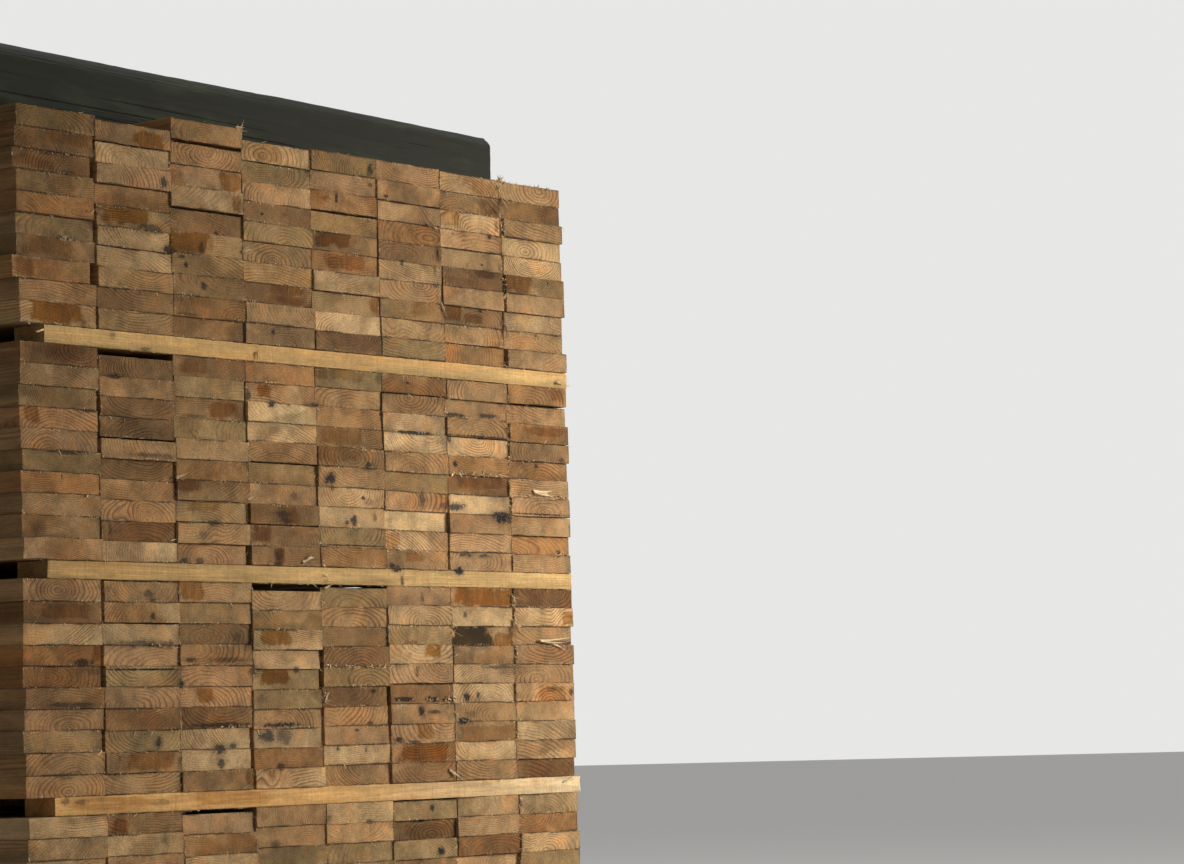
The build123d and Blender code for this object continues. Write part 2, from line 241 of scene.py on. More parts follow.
# Splinters and torn strands on the front: root across and down, tip across and down
# in pixels, width in millimetres, how many lie side by side
splinters = [
    (533, 492, 556, 496, 4.6, 5), (540, 641, 573, 645, 2.6, 5), (449, 770, 461, 780, 2.2, 4),
    (512, 596, 517, 612, 0.9, 12), (513, 620, 518, 650, 0.9, 14), (441, 303, 447, 321, 1.4, 4),
    (303, 562, 316, 552, 2.4, 4), (195, 429, 202, 440, 1, 3), (62, 238, 70, 236, 1, 3),
    (172, 541, 180, 539, 0.9, 3), (176, 478, 187, 473, 0.9, 4), (247, 499, 255, 497, 1, 3),
    (325, 702, 327, 688, 1, 4), (325, 588, 332, 583, 0.8, 5), (43, 330, 33, 333, 1.2, 4),
    (257, 352, 257, 363, 1, 3), (563, 782, 576, 776, 1.8, 5), (243, 252, 250, 246, 1.4, 8),
    (438, 250, 440, 262, 0.8, 6), (500, 195, 505, 215, 0.8, 10), (236, 128, 243, 131, 0.8, 8),
    (557, 383, 572, 377, 1, 6), (505, 325, 503, 345, 0.8, 6), (396, 546, 400, 552, 0.8, 4),
]

# Edges with a fringe of torn wood: from and to in pixels, and how many strands
torn_edges = [
    (449, 474, 508, 475, 60), (328, 665, 392, 668, 50), (512, 495, 571, 498, 26),
    (548, 555, 570, 556, 18), (498, 181, 506, 182, 14), (534, 187, 556, 191, 16),
    (497, 186, 500, 200, 22), (500, 205, 502, 240, 28), (501, 255, 505, 300, 22),
    (507, 420, 510, 470, 22), (509, 480, 511, 520, 20), (512, 596, 516, 625, 26),
    (514, 640, 518, 655, 14), (395, 700, 455, 700, 20), (324, 690, 328, 706, 10),
    (427, 225, 440, 229, 12), (447, 400, 449, 440, 12), (451, 600, 455, 660, 18), (85, 212, 102, 214, 10),
    (436, 260, 441, 300, 12), (322, 560, 330, 588, 8), (150, 645, 176, 648, 16), (222, 727, 250, 727, 14),
    (60, 240, 80, 241, 10),
]

# Ring centres read from the photograph: a point on the board's end, the centre that its
# rings curve round, and the step from ring to ring, all in pixels
centres = [
    (48, 115, 46, 127, 3), (40, 142, 42, 149, 3), (70, 168, 71, 176, 2.6), (60, 203, 78, 190, 3),
    (75, 225, 76, 234, 3), (60, 290, 44, 330, 3), (125, 153, 125, 163, 3.5), (110, 172, 109, 179, 3),
    (120, 258, 85, 300, 3.2), (149, 272, 149, 257, 3.2), (149, 292, 149, 262, 3.2),
    (134, 312, 134, 290, 3.4), (204, 128, 204, 144, 3), (207, 160, 207, 152, 3),
    (215, 222, 160, 300, 2.6), (215, 268, 190, 300, 3.4), (225, 288, 240, 268, 3.2),
    (235, 305, 240, 320, 3), (265, 150, 262, 156, 4), (285, 190, 275, 200, 3.4), (280, 233, 288, 246, 4),
    (265, 250, 272, 262, 3.6), (455, 188, 458, 202, 3.2), (455, 205, 458, 218, 3.4),
    (470, 228, 478, 238, 3.6), (475, 248, 483, 262, 3.4), (520, 240, 525, 252, 3.4),
    (425, 232, 428, 238, 3.2), (395, 250, 398, 256, 3), (405, 295, 420, 285, 3),
    (535, 203, 538, 192, 3.4), (520, 222, 560, 196, 3.2), (480, 316, 480, 326, 3.2),
    (465, 330, 470, 338, 3.2), (480, 345, 478, 336, 3.4), (410, 325, 412, 322, 3.2),
    (410, 340, 412, 322, 3.2), (530, 350, 528, 362, 3), (340, 345, 342, 328, 3.2),
    (410, 388, 410, 397, 3.2), (408, 404, 408, 398, 3), (355, 400, 356, 408, 3.2),
    (480, 387, 484, 394, 3), (530, 392, 530, 403, 3.4), (542, 412, 544, 400, 3.4),
    (354, 455, 354, 458, 3), (352, 494, 348, 490, 3), (345, 535, 346, 528, 3), (415, 440, 424, 430, 3.2),
    (413, 462, 413, 472, 3.2), (395, 497, 402, 500, 3), (480, 428, 480, 436, 3),
    (480, 447, 476, 440, 3.2), (540, 470, 540, 484, 3.4), (540, 500, 545, 512, 3.2),
    (520, 548, 512, 558, 3.4), (481, 560, 481, 562, 3), (405, 545, 350, 600, 3), (57, 425, 58, 436, 3.4),
    (50, 442, 50, 452, 3.4), (150, 405, 140, 392, 3.6), (135, 430, 150, 445, 3.4),
    (130, 465, 140, 455, 3), (150, 512, 146, 520, 3.2), (138, 532, 142, 544, 3.4),
    (205, 552, 208, 562, 3.6), (140, 383, 120, 356, 3.2), (60, 372, 55, 400, 3), (59, 590, 59, 590, 3),
    (70, 718, 70, 727, 3.2), (70, 762, 74, 782, 3.6), (68, 782, 68, 792, 3.4), (159, 656, 159, 669, 3.6),
    (145, 676, 140, 655, 3.6), (130, 695, 132, 706, 3.2), (145, 738, 143, 730, 3.2),
    (145, 780, 145, 766, 3.2), (205, 628, 205, 638, 3), (211, 674, 211, 688, 3.6),
    (210, 695, 182, 712, 3), (215, 712, 225, 700, 3.2), (200, 780, 200, 768, 3),
    (277, 595, 277, 588, 3.6), (279, 716, 279, 726, 3.2), (285, 780, 310, 795, 3.6),
    (352, 600, 352, 611, 4.2), (352, 618, 352, 627, 4), (361, 656, 361, 670, 3.6),
    (369, 674, 369, 687, 3.8), (345, 696, 342, 689, 3.6), (335, 714, 315, 700, 3.6),
    (365, 778, 365, 764, 3.2), (433, 630, 433, 622, 3.4), (423, 650, 424, 642, 3.6),
    (440, 668, 443, 663, 3.4), (440, 728, 445, 722, 4), (435, 768, 435, 755, 3.4),
    (491, 690, 491, 704, 3.2), (489, 748, 489, 738, 3.4), (489, 768, 489, 752, 3.2),
    (555, 602, 555, 592, 3.6), (549, 615, 549, 604, 3.6), (545, 634, 552, 622, 3.4),
    (547, 655, 547, 645, 3.2), (536, 670, 536, 679, 3.4), (551, 695, 551, 704, 3.2),
    (560, 735, 520, 780, 3.8), (555, 750, 500, 800, 3.8), (545, 768, 500, 800, 4),
    (432, 830, 432, 834, 3.4), (500, 848, 500, 852, 3.2), (542, 812, 542, 816, 3.2),
    (545, 848, 545, 850, 3.2), (300, 776, 300, 792, 3.6), (100, 812, 84, 806, 3), (200, 660, 190, 650, 3),
]
ranks = ("one", "two", "three")         # of the marks on one board's end
flattened = (0.36, 0.62)                # a ring's height to its width
step_share = 0.88                       # of a step in the list of centres, as it is used
knot_pitch = 0.125                      # from one branch to the next in the wood

# The three laths of a row are brighter than the boards: partly fresher wood, and partly painted light
# that makes up for the shade they lie in between the tiers. From the lowest level up: orange,
# paler towards its right end, and two of tan
lath_orange, lath_pale, lath_tan = (0.65, 0.38, 0.14), (0.63, 0.50, 0.30), (0.44, 0.29, 0.12)
lath_tones = [[lath_orange, lath_orange, lath_pale], [lath_tan], [lath_tan]]


class Socket:
    """An output socket of a graph, on which Python's operators add Math nodes."""

    def __init__(self, graph, socket):
        self.graph = graph
        self.socket = socket

    def __add__(self, other):
        return self.graph.math("ADD", self, other)

    def __sub__(self, other):
        return self.graph.math("SUBTRACT", self, other)

    def __rsub__(self, other):
        return self.graph.math("SUBTRACT", other, self)

    def __mul__(self, other):
        return self.graph.math("MULTIPLY", self, other)

    def __truediv__(self, other):
        return self.graph.math("DIVIDE", self, other)

    __radd__ = __add__
    __rmul__ = __mul__


class Graph:
    """A node tree, whose nodes are written as expressions."""

    def __init__(self, tree):
        self.tree = tree

    def node(self, kind, settings=None, sockets=None, output=0):
        """Adds a node: its settings first, then its sockets' values or links."""
        node = self.tree.nodes.new(kind)
        for key, value in (settings or {}).items():
            setattr(node, key, value)
        for key, value in (sockets or {}).items():
            if isinstance(value, Socket):
                self.tree.links.new(value.socket, node.inputs[key])
            else:
                node.inputs[key].default_value = value
        return Socket(self, node.outputs[output])

    def math(self, operation, *values):
        """A sum, product or other function of numbers."""
        return self.node("ShaderNodeMath", {"operation": operation}, dict(enumerate(values)))

    def vector(self, operation, *values, output=0):
        """The same for vectors and colours."""
        return self.node("ShaderNodeVectorMath", {"operation": operation}, dict(enumerate(values)),
                         output)

    def scaled(self, colour, factor):
        """A colour made brighter or darker by a factor."""
        return self.node("ShaderNodeVectorMath", {"operation": "SCALE"}, {0: colour, 3: factor})

    def mix(self, factor, a, b):
        """The colour a where the factor is 0, b where it is 1."""
        return self.node("ShaderNodeMix", {"data_type": "RGBA"}, {0: factor, 6: a, 7: b}, 2)

    def tinted(self, factor, colour, tint):
        """A colour, multiplied by a tint where the factor is 1."""
        return self.mix(factor, colour, self.vector("MULTIPLY", colour, tint))

    def smooth(self, value, low, high):
        """0 where the value is at low, 1 where it is at high, smooth between."""
        return self.node("ShaderNodeMapRange", {"interpolation_type": "SMOOTHSTEP"},
                         {"Value": value, "From Min": low, "From Max": high})

    def noise(self, vector, scale, detail=2.0, roughness=0.5):
        """Noise from 0 to 1, with about scale grains to the metre."""
        return self.node("ShaderNodeTexNoise", None,
                         {"Vector": vector, "Scale": scale, "Detail": detail, "Roughness": roughness})

    def stretched(self, vector, stretch, *noise):
        """Noise with its own scale along each axis."""
        return self.noise(self.vector("MULTIPLY", vector, stretch), *noise)

    def attribute(self, name, output="Vector"):
        """What a piece's mesh says at each point."""
        return self.node("ShaderNodeAttribute", {"attribute_name": name}, None, output)

    def parts(self, vector):
        """The three numbers of a vector."""
        split = self.node("ShaderNodeSeparateXYZ", None, {0: vector})
        return [Socket(self, output) for output in split.socket.node.outputs]

    def joined(self, x, y, z):
        """Three numbers as a vector."""
        return self.node("ShaderNodeCombineXYZ", None, {0: x, 1: y, 2: z})

    def seen(self):
        """1 for what the camera sees straight or in a gloss, 0 for all other light."""
        return self.math("MAXIMUM", self.node("ShaderNodeLightPath", None, None, "Is Camera Ray"),
                         self.node("ShaderNodeLightPath", None, None, "Is Glossy Ray"))


class Finish(Graph):
    """The node tree of a surface finish."""

    def __init__(self, name, **constants):
        self.material = bpy.data.materials.new(name)
        self.material.use_nodes = True
        super().__init__(self.material.node_tree)
        self.shader = self.tree.nodes["Principled BSDF"]
        for socket, value in constants.items():
            self.shader.inputs[socket.replace("_", " ")].default_value = value

    def wear(self, colour, roughness, height, depth, strength=1.0):
        """Feeds the shader: colour, roughness, and a bump of a height in shares of a depth."""
        bump = self.node("ShaderNodeBump", None,
                         {"Height": height, "Distance": depth, "Strength": strength})
        for socket, value in (("Base Color", colour), ("Roughness", roughness), ("Normal", bump)):
            self.tree.links.new(value.socket, self.shader.inputs[socket])
        return self.material


def wood(name, end_grain, run=None, contrast=1.0, dirt_and_seam_shade=1.0):
    """Sawn wood as a cut through a log. Its pattern is solid: rings of one spacing round the
    pith, so that an end shows arcs and a long face shows the same rings as grain. Every board
    brings its own place, pith, ring spacing, tones, patches and marks as attributes. Marks and
    patches lie at a place that runs across or along the piece, and up."""
    f = Finish(name, Specular_IOR_Level=0.12)
    place = f.attribute("place")
    across, along, up = f.parts(place)
    spacing, ring_depth, seed = f.parts(f.attribute("rings"))
    half_width, half_height, _ = f.parts(f.attribute("half"))
    core_radius, core_depth, knotty = f.parts(f.attribute("core"))
    own = f.vector("ADD", place, f.joined(seed, seed * 0.61, seed * 0.37))
    fibre = f.vector("MULTIPLY", own, (1.0, 0.11, 1.0))
    wander = f.noise(fibre, 13.0, 2.0) - 0.5
    ripple = f.noise(fibre, 75.0, 2.0) - 0.5
    log = f.vector("MULTIPLY", f.attribute("log"), (1.0, 0.0, 1.0))
    radius = f.vector("LENGTH", log, output=1) + wander * 0.016 + ripple * 0.0016
    sector = f.vector("MULTIPLY", f.vector("NORMALIZE", log), (1.5, 0.0, 1.5))
    sector = f.vector("ADD", sector, f.joined(seed, radius * 18.0, seed * 0.7))
    zone = f.smooth(f.noise(sector, 1.0, 1.0), 0.45, 0.56) * f.smooth(radius, 0.012, 0.040)
    tone = f.mix(zone * 0.9, f.attribute("tone", "Color"), f.attribute("second", "Color"))
    branch = f.node("ShaderNodeTexVoronoi", None, {"Vector": own, "Scale": 1 / knot_pitch}) * knot_pitch
    branch = branch + (1.0 - knotty)
    years = radius / spacing + f.smooth(branch, 0.034, 0.006) * 3.5
    years = years + f.noise(f.joined(years * 0.30, seed, 0.0), 1.0, 1.0) * 1.6
    year = f.math("FRACT", years)
    late = f.smooth(year, 0.42, 0.90) * f.smooth(year, 1.0, 0.92)
    lean_years = 0.55 + 0.9 * f.noise(f.joined(years * 0.9, seed, 3.0), 1.0, 0.0)
    clear = 0.30 + 0.80 * f.smooth(f.noise(fibre, 19.0, 2.0), 0.40, 0.62)
    rings = late * ring_depth * lean_years * clear * (contrast * 1.38)

    mottle = f.noise(fibre, 42.0, 5.0, 0.72)
    cloud = f.noise(fibre, 11.0, 5.0, 0.70)
    shading = f.smooth(mottle, 0.30, 0.70) * 0.46 + f.smooth(cloud, 0.36, 0.64) * 0.42
    colour = f.scaled(tone, 0.57 + shading)
    reddish = f.smooth(f.noise(fibre, 21.0, 5.0, 0.7), 0.48, 0.66)
    colour = f.tinted(reddish * 0.6, colour, reddish_tint)
    core = f.smooth(radius, core_radius + 0.0025, core_radius - 0.0025) * core_depth
    colour = f.tinted(core, colour, core_tint)
    murk = f.smooth(f.noise(own, 34.0, 6.0, 0.74), 0.50, 0.70)
    colour = f.tinted(murk * 0.34, colour, murk_tint)
    colour = f.tinted(rings, colour, late_wood_tint)

    streaks = f.stretched(own, (260.0, 14.0, 40.0), 1.0, 2.0)
    edge = (f.noise(fibre, 58.0, 4.0, 0.6) - 0.5) * 1.7
    heart, rot = 0.0, 0.0
    place_of_marks = {"across": across, "along": along}.get(run)
    for one in ranks[:2] if run else ():
        patch_across, patch_up, depth = f.parts(f.attribute("patch_mark_" + one))
        patch_width, patch_height, black = f.parts(f.attribute("patch_reach_" + one))
        beside = f.math("ABSOLUTE", (place_of_marks - patch_across) / patch_width)
        above = f.math("ABSOLUTE", (up - patch_up) / patch_height)
        away = f.math("MAXIMUM", beside, above) * 0.6
        away = away + f.vector("LENGTH", f.joined(beside, above, 0.0), output=1) * 0.4
        inside = f.smooth(away + edge, 1.30, 0.85) * depth
        heart = f.math("MAXIMUM", heart, inside)
        rot = f.math("MAXIMUM", rot, inside * black)
    if run:
        heart = heart * (1.0 + 0.45 * f.smooth(streaks, 0.25, 0.65))
        colour = f.tinted(heart, colour, heart_wood_tint)

    threads = f.stretched(own, (1.0, 0.3, 2.4), 260.0, 2.0)
    blotch = (f.noise(own, 105.0, 5.0, 0.75) - 0.5) * 2.3 + (threads - 0.5) * 0.8
    specks = f.smooth(f.noise(own, 260.0, 1.0), 0.74, 0.80) * f.smooth(cloud, 0.48, 0.62)
    mould_and_shadow = specks * ((0.5 if end_grain else 0.3) * dirt_and_seam_shade)
    # The marks are blue stain and dirt, and some of them are painted shadow in gaps between boards
    for one in ranks if run else ():
        mark_across, mark_up, darkness = f.parts(f.attribute("mark_" + one))
        mark_width, mark_height, _ = f.parts(f.attribute("reach_" + one))
        off = f.joined((place_of_marks - mark_across) / mark_width, 0.0, (up - mark_up) / mark_height)
        within = f.smooth(f.vector("LENGTH", off, output=1), 2.1, 0.1)
        stain_and_shadow = f.smooth(within + blotch, 0.30, 0.86) * f.smooth(within, 0.0, 0.30)
        mould_and_shadow = f.math("MAXIMUM", mould_and_shadow, f.math("MAXIMUM", stain_and_shadow, within * 0.50) * darkness)
    colour = f.tinted(mould_and_shadow, colour, mould_and_shadow_tint)
    if run == "along":
        dots = f.smooth(f.noise(own, 330.0, 2.0, 0.6), 0.60, 0.72) * f.smooth(cloud, 0.40, 0.60)
        colour = f.tinted(dots * 0.5, colour, speckle_tint)
        notch = f.stretched(own, (14.0, 330.0, 14.0), 1.0, 2.0)
        worn = f.stretched(own, (8.0, 26.0, 90.0), 1.0, 4.0, 0.7)
        colour = f.scaled(colour, 0.52 + notch * 0.42 + worn * 0.54)
    if not end_grain:
        halo = f.smooth(branch, 0.020, 0.010) * 0.45
        colour = f.tinted(halo, colour, knot_rim_tint)
        colour = f.mix(f.smooth(branch, 0.0105, 0.0085) * 0.85, colour, knot_colour)
    if run:
        colour = f.tinted(rot * 0.95, colour, rot_tint)

    to_edge = half_height - f.math("ABSOLUTE", up)
    to_side = half_width - f.math("ABSOLUTE", across)
    seam = f.math("MINIMUM", to_edge, to_side)
    patchy = f.stretched(own, (0.5, 1.0, 1.0), 34.0, 2.0, 0.6)
    # Painted shade with dirt along the seams: a thin dark line within 2 mm of a board's edge, and a
    # patchy darkening within 10 mm of it
    seam_grime_and_shade = f.smooth(seam, 0.0020, 0.0004) * (0.05 + 0.85 * f.smooth(patchy, 0.45, 0.62)) * dirt_and_seam_shade
    edge_dirt_and_shade = f.smooth(seam, 0.010, 0.0) * f.smooth(patchy, 0.46, 0.70) * (0.26 * dirt_and_seam_shade)
    fuzz = f.stretched(own, (520.0, 60.0, 230.0), 1.0, 2.0)
    if end_grain:
        colour = f.mix(edge_dirt_and_shade, colour, edge_dirt_and_shade_colour)
        colour = f.mix(seam_grime_and_shade, colour, seam_grime_and_shade_colour)
        # Pale torn wood along the edges, partly a painted highlight where frayed edges catch the light
        frayed = f.smooth(f.noise(own, 14.0, 1.0), 0.48, 0.60)
        torn = f.smooth(seam, 0.0040, 0.0006) * f.smooth(fuzz, 0.54, 0.70) * frayed * 0.7
        colour = f.mix(torn, colour, torn_glint_colour)
        saw = f.stretched(own, (900.0, 1.0, 70.0), 1.0, 2.0)
        pores = f.noise(own, 700.0, 3.0, 0.7)
        gritty = f.stretched(own, (1.0, 0.3, 1.7), 330.0, 3.0, 0.75)
        colour = f.scaled(colour, 0.10 + gritty * 1.16 + pores * 0.64)
        height = rings * -0.30 + saw * 0.45 + pores * 0.55 + gritty * 0.5 + torn * 0.8
        depth = 0.0011
    else:
        grain = f.stretched(own, (420.0, 9.0, 420.0), 1.0, 3.0, 0.65)
        band = f.stretched(own, (12.0, 190.0, 12.0), 1.0, 2.0)
        fluff = f.stretched(own, (1.0, 0.6 if run else 0.25, 1.0), 380.0, 4.0, 0.75)
        colour = f.scaled(colour, 0.34 + grain * 0.52 + fluff * 0.80)
        colour = f.mix(f.smooth(grain, 0.60, 0.74) * 0.25, colour, pale_grain_colour)
        height = grain * 0.7 + band * 0.35 - rings * 0.15
        depth = 0.0012
    roughness = 0.74 + mottle * 0.22
    return f.wear(colour, roughness, height, depth, 0.85)


def weathered(name, end_grain):
    """Old grey-green bearer wood: lengthwise streaks, damp dark stretches and drying cracks.
    An end shows rings round the pith and cracks that run out from it."""
    f = Finish(name, Specular_IOR_Level=0.2)
    place = f.attribute("place")
    across, _, up = f.parts(place)
    own = f.vector("ADD", place, f.joined(f.parts(f.attribute("rings"))[2], 0.0, 0.0))
    tone = f.attribute("tone", "Color")
    streak = f.stretched(own, (150.0, 5.0, 150.0), 1.0, 4.0, 0.65)
    damp = f.stretched(own, (9.0, 3.0, 9.0), 1.0, 3.0)
    colour = f.scaled(tone, 0.35 + streak * 0.85 + damp * 0.45)
    moss = f.smooth(f.stretched(own, (30.0, 10.0, 30.0), 1.0, 3.0), 0.50, 0.68)
    colour = f.mix(moss * 0.45, colour, moss_colour)
    if end_grain:
        radius = f.vector("LENGTH", f.joined(across, 0.0, up), output=1)
        year = f.math("FRACT", radius / 0.0031 + (f.noise(own, 16.0, 2.0) - 0.5) * 3.0)
        rings = f.smooth(year, 0.35, 0.9) * f.smooth(year, 1.0, 0.92)
        turned = f.math("ARCTAN2", up, across)
        ray = f.noise(f.joined(turned * 2.2, f.noise(own, 30.0) * 0.5, 0.0), 3.0, 2.0)
        crack = f.smooth(f.math("ABSOLUTE", ray - 0.5), 0.016, 0.0) * f.smooth(radius, 0.004, 0.02)
        colour = f.tinted(rings * 0.5, colour, old_ring_tint)
        colour = f.mix(crack, colour, end_crack_colour)
        height = rings * -0.3 - crack * 1.6 + f.noise(own, 600.0, 2.0) * 0.5
    else:
        line = f.stretched(own, (48.0, 0.35, 48.0), 1.0, 1.0)
        crack = f.smooth(f.math("ABSOLUTE", line - 0.5), 0.016, 0.0)
        crack = crack * f.smooth(f.stretched(own, (30.0, 3.0, 30.0), 1.0), 0.5, 0.6)
        colour = f.mix(crack * 0.9, colour, face_crack_colour)
        height = streak * 0.9 - crack * 2.0
    return f.wear(colour, 0.80 + damp * 0.15, height, 0.0016, 0.9)


def enamelled_strap():
    """Black enamelled steel strapping: worn to grey on its edges, dusty and lightly scuffed."""
    f = Finish("black_strap", Specular_IOR_Level=0.3)
    where = f.node("ShaderNodeTexCoord", None, None, "Object")
    dust = f.noise(where, 60.0, 4.0, 0.6)
    scuff = f.smooth(f.stretched(where, (1.0, 9.0, 1.0), 190.0, 3.0), 0.62, 0.70)
    colour = f.mix(dust * 0.5, (0.012, 0.012, 0.014, 1.0), (0.055, 0.050, 0.044, 1.0))
    colour = f.mix(scuff * 0.6, colour, (0.17, 0.17, 0.17, 1.0))
    return f.wear(colour, 0.52 + dust * 0.3, f.noise(where, 420.0, 2.0), 0.0002)


def crimped_steel():
    """Zinc-grey seal: drawn streaks, dull patches and a little rust where it was crimped."""
    f = Finish("crimped_seal", Metallic=0.85)
    where = f.node("ShaderNodeTexCoord", None, None, "Object")
    drawn = f.stretched(where, (900.0, 900.0, 60.0), 1.0, 2.0)
    spots = f.smooth(f.noise(where, 240.0, 3.0), 0.60, 0.72)
    colour = f.mix(drawn, (0.30, 0.30, 0.30, 1.0), (0.48, 0.48, 0.47, 1.0))
    colour = f.mix(spots * 0.7, colour, (0.16, 0.075, 0.035, 1.0))
    return f.wear(colour, 0.35 + spots * 0.35, drawn, 0.0002)


def made(name, points, faces, materials, material_of_face, attributes):
    """A mesh piece from whole arrays: points, faces of four points each, and one vector or
    colour for each point and attribute. A face of three repeats its last point."""
    mesh = bpy.data.meshes.new(name)
    mesh.vertices.add(len(points))
    mesh.vertices.foreach_set("co", points.astype(np.float32).ravel())
    square = faces[:, 3] != faces[:, 2]
    counts = np.where(square, 4, 3)
    starts = np.concatenate([[0], np.cumsum(counts)[:-1]])
    keep = np.ones(faces.shape, bool)
    keep[~square, 3] = False
    mesh.loops.add(int(counts.sum()))
    mesh.loops.foreach_set("vertex_index", faces[keep].astype(np.int32))
    mesh.polygons.add(len(faces))
    mesh.polygons.foreach_set("loop_start", starts.astype(np.int32))
    for material in materials:
        mesh.materials.append(material)
    mesh.polygons.foreach_set("material_index", material_of_face.astype(np.int32))
    mesh.polygons.foreach_set("use_smooth", np.ones(len(faces), bool))
    mesh.update(calc_edges=True)
    mesh.set_sharp_from_angle(angle=sharp_angle)
    for key, values in attributes.items():
        attribute = mesh.attributes.new(key, "FLOAT_VECTOR", "POINT")
        attribute.data.foreach_set("vector", values.astype(np.float32).ravel())
    piece = bpy.data.objects.new(name, mesh)
    bpy.context.scene.collection.objects.link(piece)
    return piece


def joined_arrays(parts):
    """Several (points, faces, material numbers, attributes) as one, with their faces renumbered."""
    starts = np.cumsum([0] + [len(p[0]) for p in parts[:-1]])
    points = np.concatenate([p[0] for p in parts])
    faces = np.concatenate([p[1] + start for p, start in zip(parts, starts)])
    numbers = np.concatenate([p[2] for p in parts])
    attributes = {key: np.concatenate([p[3][key] for p in parts]) for key in parts[0][3]}
    return points, faces, numbers, attributes


def grid_faces(index):
    """Faces of four between the neighbours of a grid of point numbers."""
    return np.stack([index[:-1, :-1], index[1:, :-1], index[1:, 1:], index[:-1, 1:]], -1).reshape(-1, 4)


def rim_of(rows, cols):
    """The rim of a grid of rows by columns, counter-clockwise: its row and column numbers."""
    i = np.concatenate([np.arange(rows - 1), np.full(cols - 1, rows - 1),
                        np.arange(rows - 1, 0, -1), np.zeros(cols - 1, int)])
    j = np.concatenate([np.zeros(rows - 1, int), np.arange(cols - 1),
                        np.full(rows - 1, cols - 1), np.arange(cols - 1, 0, -1)])
    return i, j


def sawn_stick(section, stations, tear, rng, cut):
    """A sawn stick in its own frame: across, along, up. Its section is a grid of across and up
    places, whose corner points lie on a small chamfer. The rim of that grid, carried along the
    stations, is the long faces, and the grid itself closes both ends, each tilted by a cut that
    was not quite square. Every rim point is torn inwards by a random amount, most at the ends."""
    across, up = section
    rows, cols = len(across), len(up)
    grid_across, grid_up = np.meshgrid(across, up, indexing="ij")
    chamfer = 0.35 * min(across[1] - across[0], up[1] - up[0])
    for i in (0, -1):
        for j in (0, -1):
            grid_across[i, j] -= np.sign(grid_across[i, j] - across.mean()) * chamfer
            grid_up[i, j] -= np.sign(grid_up[i, j] - up.mean()) * chamfer
    i, j = rim_of(rows, cols)
    count, rim = len(stations), len(i)
    near_end = np.exp(-np.minimum(stations - stations[0], stations[-1] - stations) / 0.004)
    torn = np.abs(rng.normal(0, 1, (count, rim))) * (0.00005 + tear * near_end[:, None])
    nick = (rng.random((count, rim)) < 0.05) * rng.random((count, rim)) * 3.0 * tear
    torn = torn + nick * near_end[:, None]
    side = np.zeros((count, rim, 3))
    side[:, :, 0] = grid_across[i, j] * (1 - torn / across.max())
    side[:, :, 2] = grid_up[i, j] * (1 - torn / up.max())
    side[:, :, 1] = stations[:, None]
    tilts = (cut, (cut[1], -cut[0]))
    for end, tilt in zip((0, -1), tilts):
        side[end, :, 1] += side[end, :, 0] * tilt[0] + side[end, :, 2] * tilt[1]
    points = [side.reshape(-1, 3)]
    wrap = np.arange(rim + 1) % rim
    index = np.arange(count)[:, None] * rim + wrap[None, :]
    faces = [grid_faces(index)[:, ::-1]]
    numbers = [np.ones(len(faces[0]), int)]
    inner_start = count * rim
    for station, tilt, flip in zip((0, count - 1), tilts, (False, True)):
        cap = np.full((rows, cols), -1)
        cap[i, j] = station * rim + np.arange(rim)
        inner = np.stack([grid_across[1:-1, 1:-1], np.zeros((rows - 2, cols - 2)),
                          grid_up[1:-1, 1:-1]], -1).reshape(-1, 3)
        inner[:, 1] = stations[station] + inner[:, 0] * tilt[0] + inner[:, 2] * tilt[1]
        inner[:, 1] += rng.normal(0, 0.0001, len(inner))
        cap[1:-1, 1:-1] = (inner_start + np.arange(len(inner))).reshape(rows - 2, cols - 2)
        inner_start += len(inner)
        points.append(inner)
        cap_faces = grid_faces(cap)
        faces.append(cap_faces[:, ::-1] if flip else cap_faces)
        numbers.append(np.zeros(len(cap_faces), int))
    return np.concatenate(points), np.concatenate(faces), np.concatenate(numbers)


def section_places(halves, chamfer, grid):
    """A section's places across and up, each from -half to half: one at each edge, one a chamfer
    inside it, and even ones between."""
    return [np.concatenate([[-half], np.linspace(chamfer - half, half - chamfer, count), [half]])
            for half, count in zip(halves, grid)]


def seeded(*key):
    """A seeded generator for a board or lath, named by whole numbers."""
    return np.random.default_rng([7] + [int(k) for k in key])


def filled(count, *values):
    """The same values for each of a count of points."""
    return np.tile(np.array(values, float), (count, 1))


def node_points(node):
    """The points of a CAD node, as rows of X, Y and Z."""
    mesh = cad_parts[node].data
    points = np.zeros(len(mesh.vertices) * 3, np.float32)
    mesh.vertices.foreach_get("co", points)
    return points.reshape(-1, 3).astype(float)


def height_at(line, y):
    """The height at Y of a board's underside or top, between the points of its line."""
    return np.interp(y, line[:, 0], line[:, 1])


